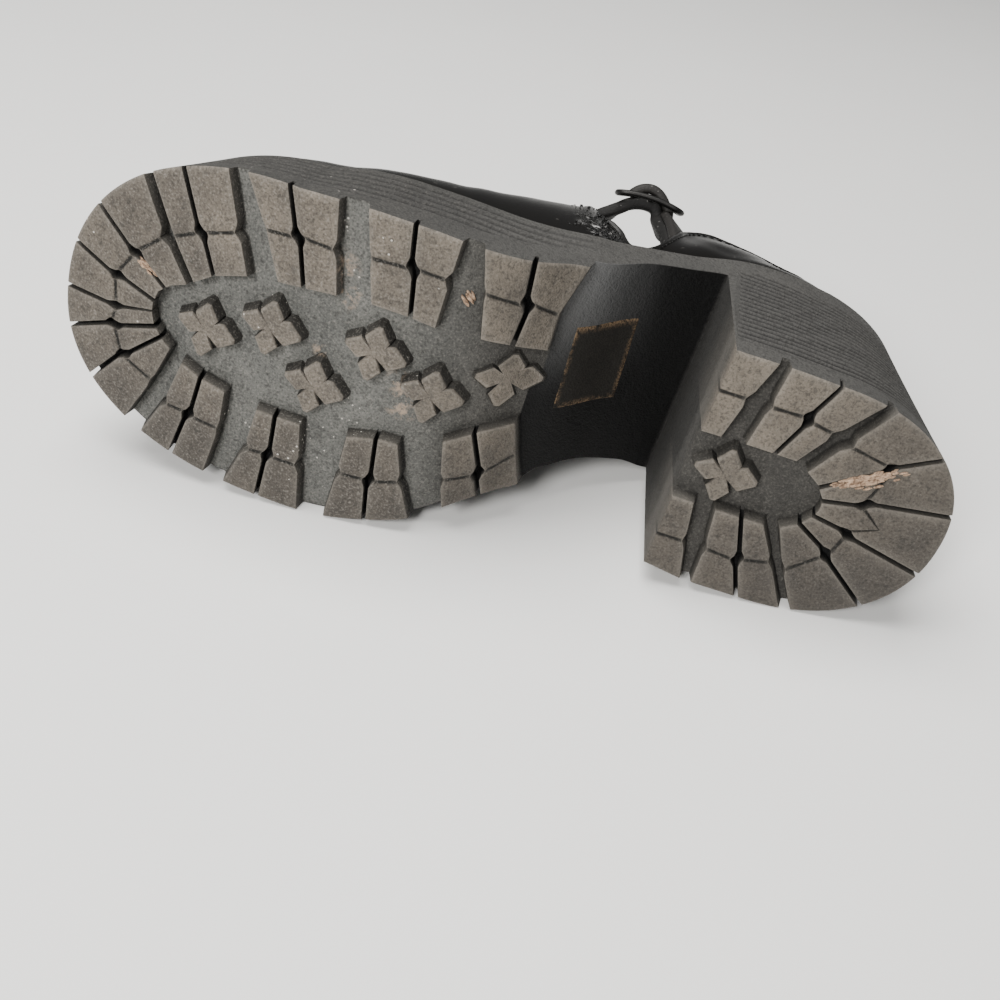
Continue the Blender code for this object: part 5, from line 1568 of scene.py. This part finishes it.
strap_line = catmull((*LATERAL_LEG, *threaded(UNDER_BAR), *MEDIAL_LEG))
tab_line = catmull((*threaded(OVER_BAR), *TAB_LEG))
print("steps along strap and tab:", len(strap_line), len(tab_line))

# %% The strap section along its path
STRAP_SIDES, CUP = 28, 0.12
FILL_WIDE, FILL_THICK = 0.99, 0.97        # the section's size, as shares of the full one
POWER_WIDE, POWER_THICK = 0.42, 0.62      # how square the superellipse is each way
SEAM_IN, SEAM_LIFT = 1.2, 0.39            # stitches: in from the edge; share of thickness


def signed_power(value, power):
    """The power of a value's size, with the value's sign."""
    return np.sign(value) * np.abs(value) ** power


def strap_frame(line):
    """Path, side and face directions and half widths of a strap."""
    path = line[:, :3]
    return path, *square_frame(np.gradient(path, axis=0), line[:, 4:7])[1:], line[:, 3]


def strap_grid(line, full):
    """Closed strap: superellipse section, slightly cupped, shrunk to a pole at both ends."""
    path, across, face, half = strap_frame(line)
    angle = np.linspace(0, 2 * np.pi, STRAP_SIDES, endpoint=False)
    wide = signed_power(np.cos(angle), POWER_WIDE)
    thick = signed_power(np.sin(angle), POWER_THICK)
    w = (half * FILL_WIDE)[:, None] * wide
    h = full / 2 * FILL_THICK * thick - CUP * (wide ** 2 - 0.5)
    grid = path[:, None] + across[:, None] * w[..., None] + face[:, None] * h[:, None]
    first, last = (np.broadcast_to(grid[k].mean(0), grid[k].shape)[None] for k in (0, -1))
    return np.concatenate([first, grid, last])


def strap_seams(line, full):
    """A row of stitches along each edge of the strap's outer face."""
    path, across, face, half = strap_frame(line)
    return [stitch for sign in (1, -1)
            for stitch in stitch_row(path + across * (sign * (half - SEAM_IN))[:, None]
                                     + face * (full * SEAM_LIFT), face, 1.5, 0.8, 0.2)]


piece("instep_strap_leather", [ringed(strap_grid(strap_line, STRAP_THICK))], strap_leather,
      "instep_strap")
piece("buckle_tab_leather", [ringed(strap_grid(tab_line, TAB_THICK))], tab_leather,
      "buckle_tab")
piece("strap_stitches", strap_seams(strap_line, STRAP_THICK), edge_leather)
piece("tab_stitches", strap_seams(tab_line, TAB_THICK), edge_leather)

# %% [markdown]
# The slide buckle is one bent wire: a long frame with round corners, arched over
# the foot, and a bar across its middle. It is a round section again, carried once
# round a closed loop.

# %% Buckle
FRAME_SIDES, FRAME_SQUASH, BAR_SHARE = 14, 0.86, 0.82   # section; thickness of the bar
CORNER, CORNER_STEPS, FRAME_STEP, BAR_STEPS = 3.0, 10, 0.7, 24


def metal_finish(name):
    """Nearly black metal with cloudy tones and long fine scuffs."""
    made, shader, place = blank_finish(name, metallic=0.85)
    cloud = place.noise(260.0, 4.0, 0.6)
    scuff = place.noise(1400.0, 3.0, 0.7, stretch=(0.3, 1.0, 1.0))
    colour = (cloud * 0.7 + scuff * 0.4 - 0.1).clamped().mixed((0.014, 0.014, 0.014),
                                                               (0.050, 0.048, 0.046))
    feed(shader, base_color=colour, roughness=(0.34 + scuff * 0.25).clamped(),
         normal=scuff.bumped(0.15, 0.0001))
    return made


def buckle_frame():
    """Rounded rectangle, sampled evenly, then arched: lift falls off with the square."""
    long, wide = BUCKLE_LONG / 2 - BUCKLE_BAR, BUCKLE_WIDE / 2 - BUCKLE_BAR
    turn = np.linspace(0, np.pi / 2, CORNER_STEPS)
    flat = np.concatenate([
        np.column_stack([sx * (long - CORNER) + CORNER * np.cos(turn + quarter * np.pi / 2),
                         sy * (wide - CORNER) + CORNER * np.sin(turn + quarter * np.pi / 2)])
        for quarter, (sx, sy) in enumerate(((1, 1), (-1, 1), (-1, -1), (1, -1)))])
    flat = even_path(np.concatenate([flat, flat[:1]]), FRAME_STEP)[:-1]
    lift = BUCKLE_ARCH * (1 - (2 * flat[:, 0] / BUCKLE_LONG) ** 2)
    wire = by_buckle(flat[:, 0], flat[:, 1], lift)
    along = np.roll(wire, -1, axis=0) - np.roll(wire, 1, axis=0)
    across, face = square_frame(along, BUCKLE_FACE)[1:]
    return wire[:, None] + BUCKLE_BAR * round_section(across, face, FRAME_SIDES, FRAME_SQUASH)


def buckle_bar():
    """Straight bar across the frame's middle."""
    reach = BUCKLE_WIDE / 2 - BUCKLE_BAR
    across = np.linspace(-reach, reach, BAR_STEPS)
    path = by_buckle(0 * across, across, 0 * across + BUCKLE_ARCH)
    return roll(path, BUCKLE_FACE, BUCKLE_BAR * BAR_SHARE)


piece("slide_buckle_wire", [(buckle_frame(), True, True, {}), ringed(buckle_bar())],
      metal_finish("dark_gunmetal"), "slide_buckle")

# %% [markdown]
# ## What the walk left behind
#
# Two cuts hold a crumb of cork, and a little grit sits on the pan. Each crumb is
# a lump: a small sphere grid whose radius is shaken by a seeded random field.

# %% Crumbs
LUMP_ROWS, LUMP_SIDES, SHAKE = 7, 9, 0.35
CRUMB_LINES = (   # from (x, y), to (x, y), how many, largest size, spread, height
    ((-38.5, 7.9), (-58.5, 22.0), 150, 0.85, 1.2, -0.4),
    ((163.0, 1.4), (156.0, -3.2), 30, 0.65, 0.4, 0.0),
    ((70.6, 25.6), (69.0, 24.2), 16, 0.9, 1.2, 4.2))
CRUMB_STRETCH, FLAKE_STRETCH = (2.3, 0.7, 0.7), (1.0, 0.9, 0.7)
rng = np.random.default_rng(7)


def lump(centre, size, stretch, along=(1.0, 0.0)):
    """Sphere with shaken radii, drawn out along a line; its poles are closed."""
    down = np.linspace(0, np.pi, LUMP_ROWS)[:, None]
    turn = np.linspace(0, 2 * np.pi, LUMP_SIDES, endpoint=False)[None]
    ball = np.stack([np.sin(down) * np.cos(turn), np.sin(down) * np.sin(turn),
                     np.cos(down) + 0 * turn], -1)
    shake = 1 + SHAKE * (rng.random((LUMP_ROWS, LUMP_SIDES)) - 0.5)
    shake[[0, -1]] = 1.0
    ball = ball * shake[..., None] * size * np.array(stretch)
    x, y = along
    spin = np.array([[x, y, 0.0], [-y, x, 0.0], [0.0, 0.0, 1.0]])
    return ringed(np.array(centre) + ball @ spin)


def crumbs(start, end, count, largest, spread, rise):
    """Lumps along a line, thickest a third of the way and thin at both ends."""
    start, end = np.array(start), np.array(end)
    along = (end - start) / length(end - start)
    grids = []
    for _ in range(count):
        t = rng.beta(1.7, 2.6)
        full = np.exp(-((t - 0.38) / 0.30) ** 2)
        off = rng.normal(0, 0.35 + spread * 0.6 * full)
        flat = start + (end - start) * t + np.array((-along[1], along[0])) * off
        size = largest * (0.35 + 0.65 * rng.random()) * (0.6 + 0.4 * full)
        z = float(tread_z(flat[0])) + rise + 1.6 * rng.random() * (1.2 - 0.7 * full)
        grids.append(lump((*flat, z), size, CRUMB_STRETCH, along))
    return grids


def cork_finish(name):
    """Grainy cork, from dark brown to tan."""
    made, shader, place = blank_finish(name)
    grain = place.noise(900.0, 4.0, 0.7)
    colour = grain.ramped(0.3, 0.7).mixed((0.12, 0.07, 0.042), (0.50, 0.35, 0.24))
    feed(shader, base_color=colour, roughness=0.8 + grain * 0.1,
         normal=grain.bumped(0.8, 0.0005))
    return made


piece("cork_crumbs", [grid for row in CRUMB_LINES for grid in crumbs(*row)],
      cork_finish("cork_crumbs"))

# %% [markdown]
# The throat of the vamp is worn through: its lacquer has lifted into small flakes,
# most of them black and some pale. They are lumps again, strewn along the rim.

# %% Flakes at the throat
FLAKES, THROAT_ROWS, THROAT_PROFILE = 230, (44, 78), (0.04, 0.95)


def flake_grids():
    """Lumps on the lateral vamp, most of them close to the throat and to the sole."""
    first, last = THROAT_ROWS
    low, high = THROAT_PROFILE
    rows = (first + (last - first) * rng.beta(2.4, 0.9, FLAKES)).astype(int)
    steps = (rng.beta(1.1, 1.8, FLAKES) * (high - low) + low) * (PROFILE_STEPS - 1)
    spots = sides[0][rows, steps.astype(int)] + rng.normal(0, 0.25, (FLAKES, 3))
    return [lump(spot, 0.18 + 0.40 * rng.random() ** 2, FLAKE_STRETCH) for spot in spots]


def flake_finish(name):
    """Black lacquer with patches of the pale ground."""
    made, shader, place = blank_finish(name, specular_ior_level=0.3)
    pale = place.noise(420.0, 2.0, 0.6).ramped(0.60, 0.68)
    feed(shader, base_color=pale.mixed((0.010, 0.010, 0.010), (0.30, 0.29, 0.28)),
         roughness=0.45 + pale * 0.3)
    return made


piece("throat_flakes", flake_grids(), flake_finish("lifted_lacquer"))

# %% [markdown]
# ## Floor
#
# The floor is a plain pale plane, with only a trace of tone so that it doesn't
# look like paper.

# %% Floor
FLOOR_REACH = 15
FLOOR_CORNERS = ((-1, -1), (1, -1), (1, 1), (-1, 1))


def floor_finish(name):
    """Nearly white, with slow clouds of a slightly warmer tone."""
    made, shader, place = blank_finish(name, roughness=0.75)
    cloud = place.noise(6.0, 4.0, 0.6)
    colour = cloud.mixed((0.90, 0.895, 0.875), (0.96, 0.955, 0.94))
    feed(shader, base_color=colour)
    return made


floor_mesh = bpy.data.meshes.new("studio_floor")
floor_mesh.from_pydata([(x * FLOOR_REACH, y * FLOOR_REACH, 0) for x, y in FLOOR_CORNERS],
                       [], [(0, 1, 2, 3)])
floor_mesh.materials.append(floor_finish("pale_floor"))
studio_floor = bpy.data.objects.new("studio_floor", floor_mesh)
bpy.context.scene.collection.objects.link(studio_floor)
